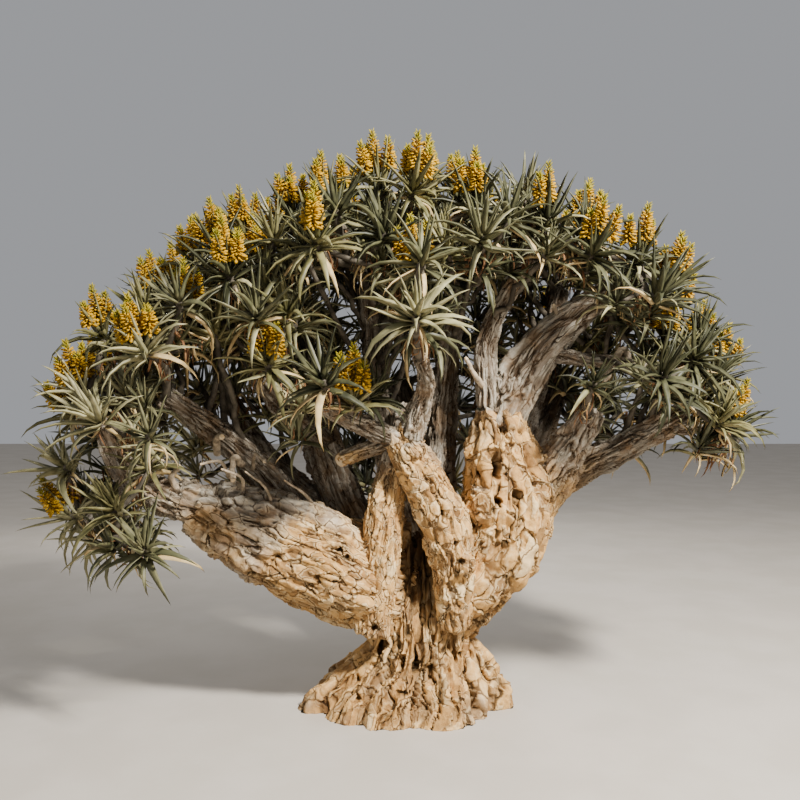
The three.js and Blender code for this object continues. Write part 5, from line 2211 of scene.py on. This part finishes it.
    def grow_raceme(self, foot: Array, axis: Array, length: float) -> None:
        """Grows one raceme: hanging flowers low down, buds towards its tip.

        Args:
            foot: Where it starts.
            axis: The way it runs.
            length: Its length.
        """
        count = self.florets
        share = (np.arange(count) + .5) / count
        radial = fan(axis, np.arange(count) * GOLDEN_TURN + self.chance.normal(0, .15, count))
        polar = np.radians(112 - 82 * share ** 1.4 + self.chance.normal(0, 6, count))
        base = foot + axis * (share * length)[:, None] + radial * .004
        size = self.floret_length * (1.12 - .62 * share) * self.chance.uniform(.85, 1.1, count)
        turns = as_turns(opened(axis, radial, polar), radial + axis * .3)
        buds = share > self.buds_from
        for shape, chosen in ((FloretShape.FLOWER, ~buds), (FloretShape.BUD, buds)):
            self.florets_of.add(shape, base[chosen], turns[chosen], np.tile(size[chosen, None], 3),
                                np.full(chosen.sum(), shape.value))

    def make(self) -> list[Item]:
        """Makes every gathered kind into its piece.

        Returns:
            The finished pieces.
        """
        masses = [plan.name for plan in MASSES]
        pieces = [enter(self.twigs.make("twigs", TWIG_FINISH.build()), masses),
                  enter(self.stalks.make("flower_stalks", STALK_FINISH.build()))]
        for tint, finish in LEAF_FINISHES.items():
            pieces.append(enter(self.leaves.make(tint, tint.value, finish.build()),
                                () if tint in (Tint.STRAW, Tint.RUSSET) else masses))
        for shape, name, finish in ((FloretShape.FLOWER, "flowers", FLOWER_FINISH),
                                    (FloretShape.BUD, "flower_buds", BUD_FINISH)):
            pieces.append(enter(self.florets_of.make(shape, name, finish.build())))
        self.leaves.clear()
        self.florets_of.clear()
        return pieces


@dataclass
class Lamp:
    """A soft square light: where it is, how wide, how strong in watts, and its colour."""

    name: str
    place: Triple
    width: float
    power: float
    shade: Triple

    def build(self, aim: Triple) -> None:
        """Makes the light, pointed at a place.

        Args:
            aim: The place.
        """
        data = bpy.data.lights.new(self.name, "AREA")
        data.size, data.energy, data.color = self.width, self.power, self.shade
        light = linked(bpy.data.objects.new(self.name, data))
        light.location = self.place
        light.rotation_euler = (Vector(aim) - Vector(self.place)).to_track_quat("-Z", "Y").to_euler()


@dataclass
class Studio:
    """A pale floor, soft light and the camera at the photograph's angle."""

    lamps: tuple[Lamp, ...] = (
        Lamp("key_light", (3.9, -5.1, 7.1), 1.0, 2400.0, (1.0, .97, .92)),
        Lamp("fill_light", (-5.5, -4.5, 3.2), 4.0, 30.0, (.9, .95, 1.0)),
        Lamp("back_light", (-1.5, 7.0, 4.2), 5.0, 260.0, (1.0, .98, .95)))
    lens: float = 36.0
    sensor: float = 36.0
    floor_side: float = 60.0
    aim: Triple = (0.0, 0.0, 1.7)
    sky_power: float = .38

    def build(self) -> None:
        """Makes the floor, the lights, the sky and the camera."""
        half = self.floor_side / 2
        corners = np.array([(-half, -half, 0), (half, -half, 0), (half, half, 0), (-half, half, 0)])
        floor = linked(mesh_object("floor", corners, [(0, 1, 2, 3)]))
        pale = PlainFinish("floor_pale", colour(186, 178, 166), colour(192, 184, 173), .8, .2, 1.5)
        floor.data.materials.append(pale.build())
        for lamp in self.lamps:
            lamp.build(self.aim)
        world = bpy.data.worlds.new("pale_sky")
        world.use_nodes = True
        sky = world.node_tree.nodes["Background"]
        sky.inputs["Color"].default_value = (.93, .95, 1.0, 1.0)
        sky.inputs["Strength"].default_value = self.sky_power
        bpy.context.scene.world = world
        data = bpy.data.cameras.new("camera")
        data.lens, data.sensor_width = self.lens, self.sensor
        camera = linked(bpy.data.objects.new("camera", data))
        camera.location = VIEW_FROM
        camera.rotation_euler = (math.pi / 2, 0, 0)
        bpy.context.scene.camera = camera


def triangles(piece: Item) -> int:
    """How many triangles a piece has."""
    return sum(len(polygon.vertices) - 2 for polygon in piece.data.polygons)


def main() -> None:
    """Builds the tree's looks, piece by piece."""
    logging.basicConfig(level=logging.INFO, format="%(message)s")
    skin = BarkSkin()
    pieces = [skin.grow(piece) for piece in Bark] + DeadWood().grow()
    crown = CrownRule()
    layouts = crown.grow()
    FinerRule(crown).grow(layouts)
    LOG.info("%d rosettes", sum(len(layout.rosettes) for layout in layouts))
    foliage = Foliage(crown, layouts)
    foliage.grow()
    pieces += foliage.make()
    for piece in pieces:
        LOG.info("%s: %d triangles", piece.name, triangles(piece))
    LOG.info("%d triangles in all", sum(map(triangles, pieces)))
    Studio().build()


if __name__ == "__main__":
    main()
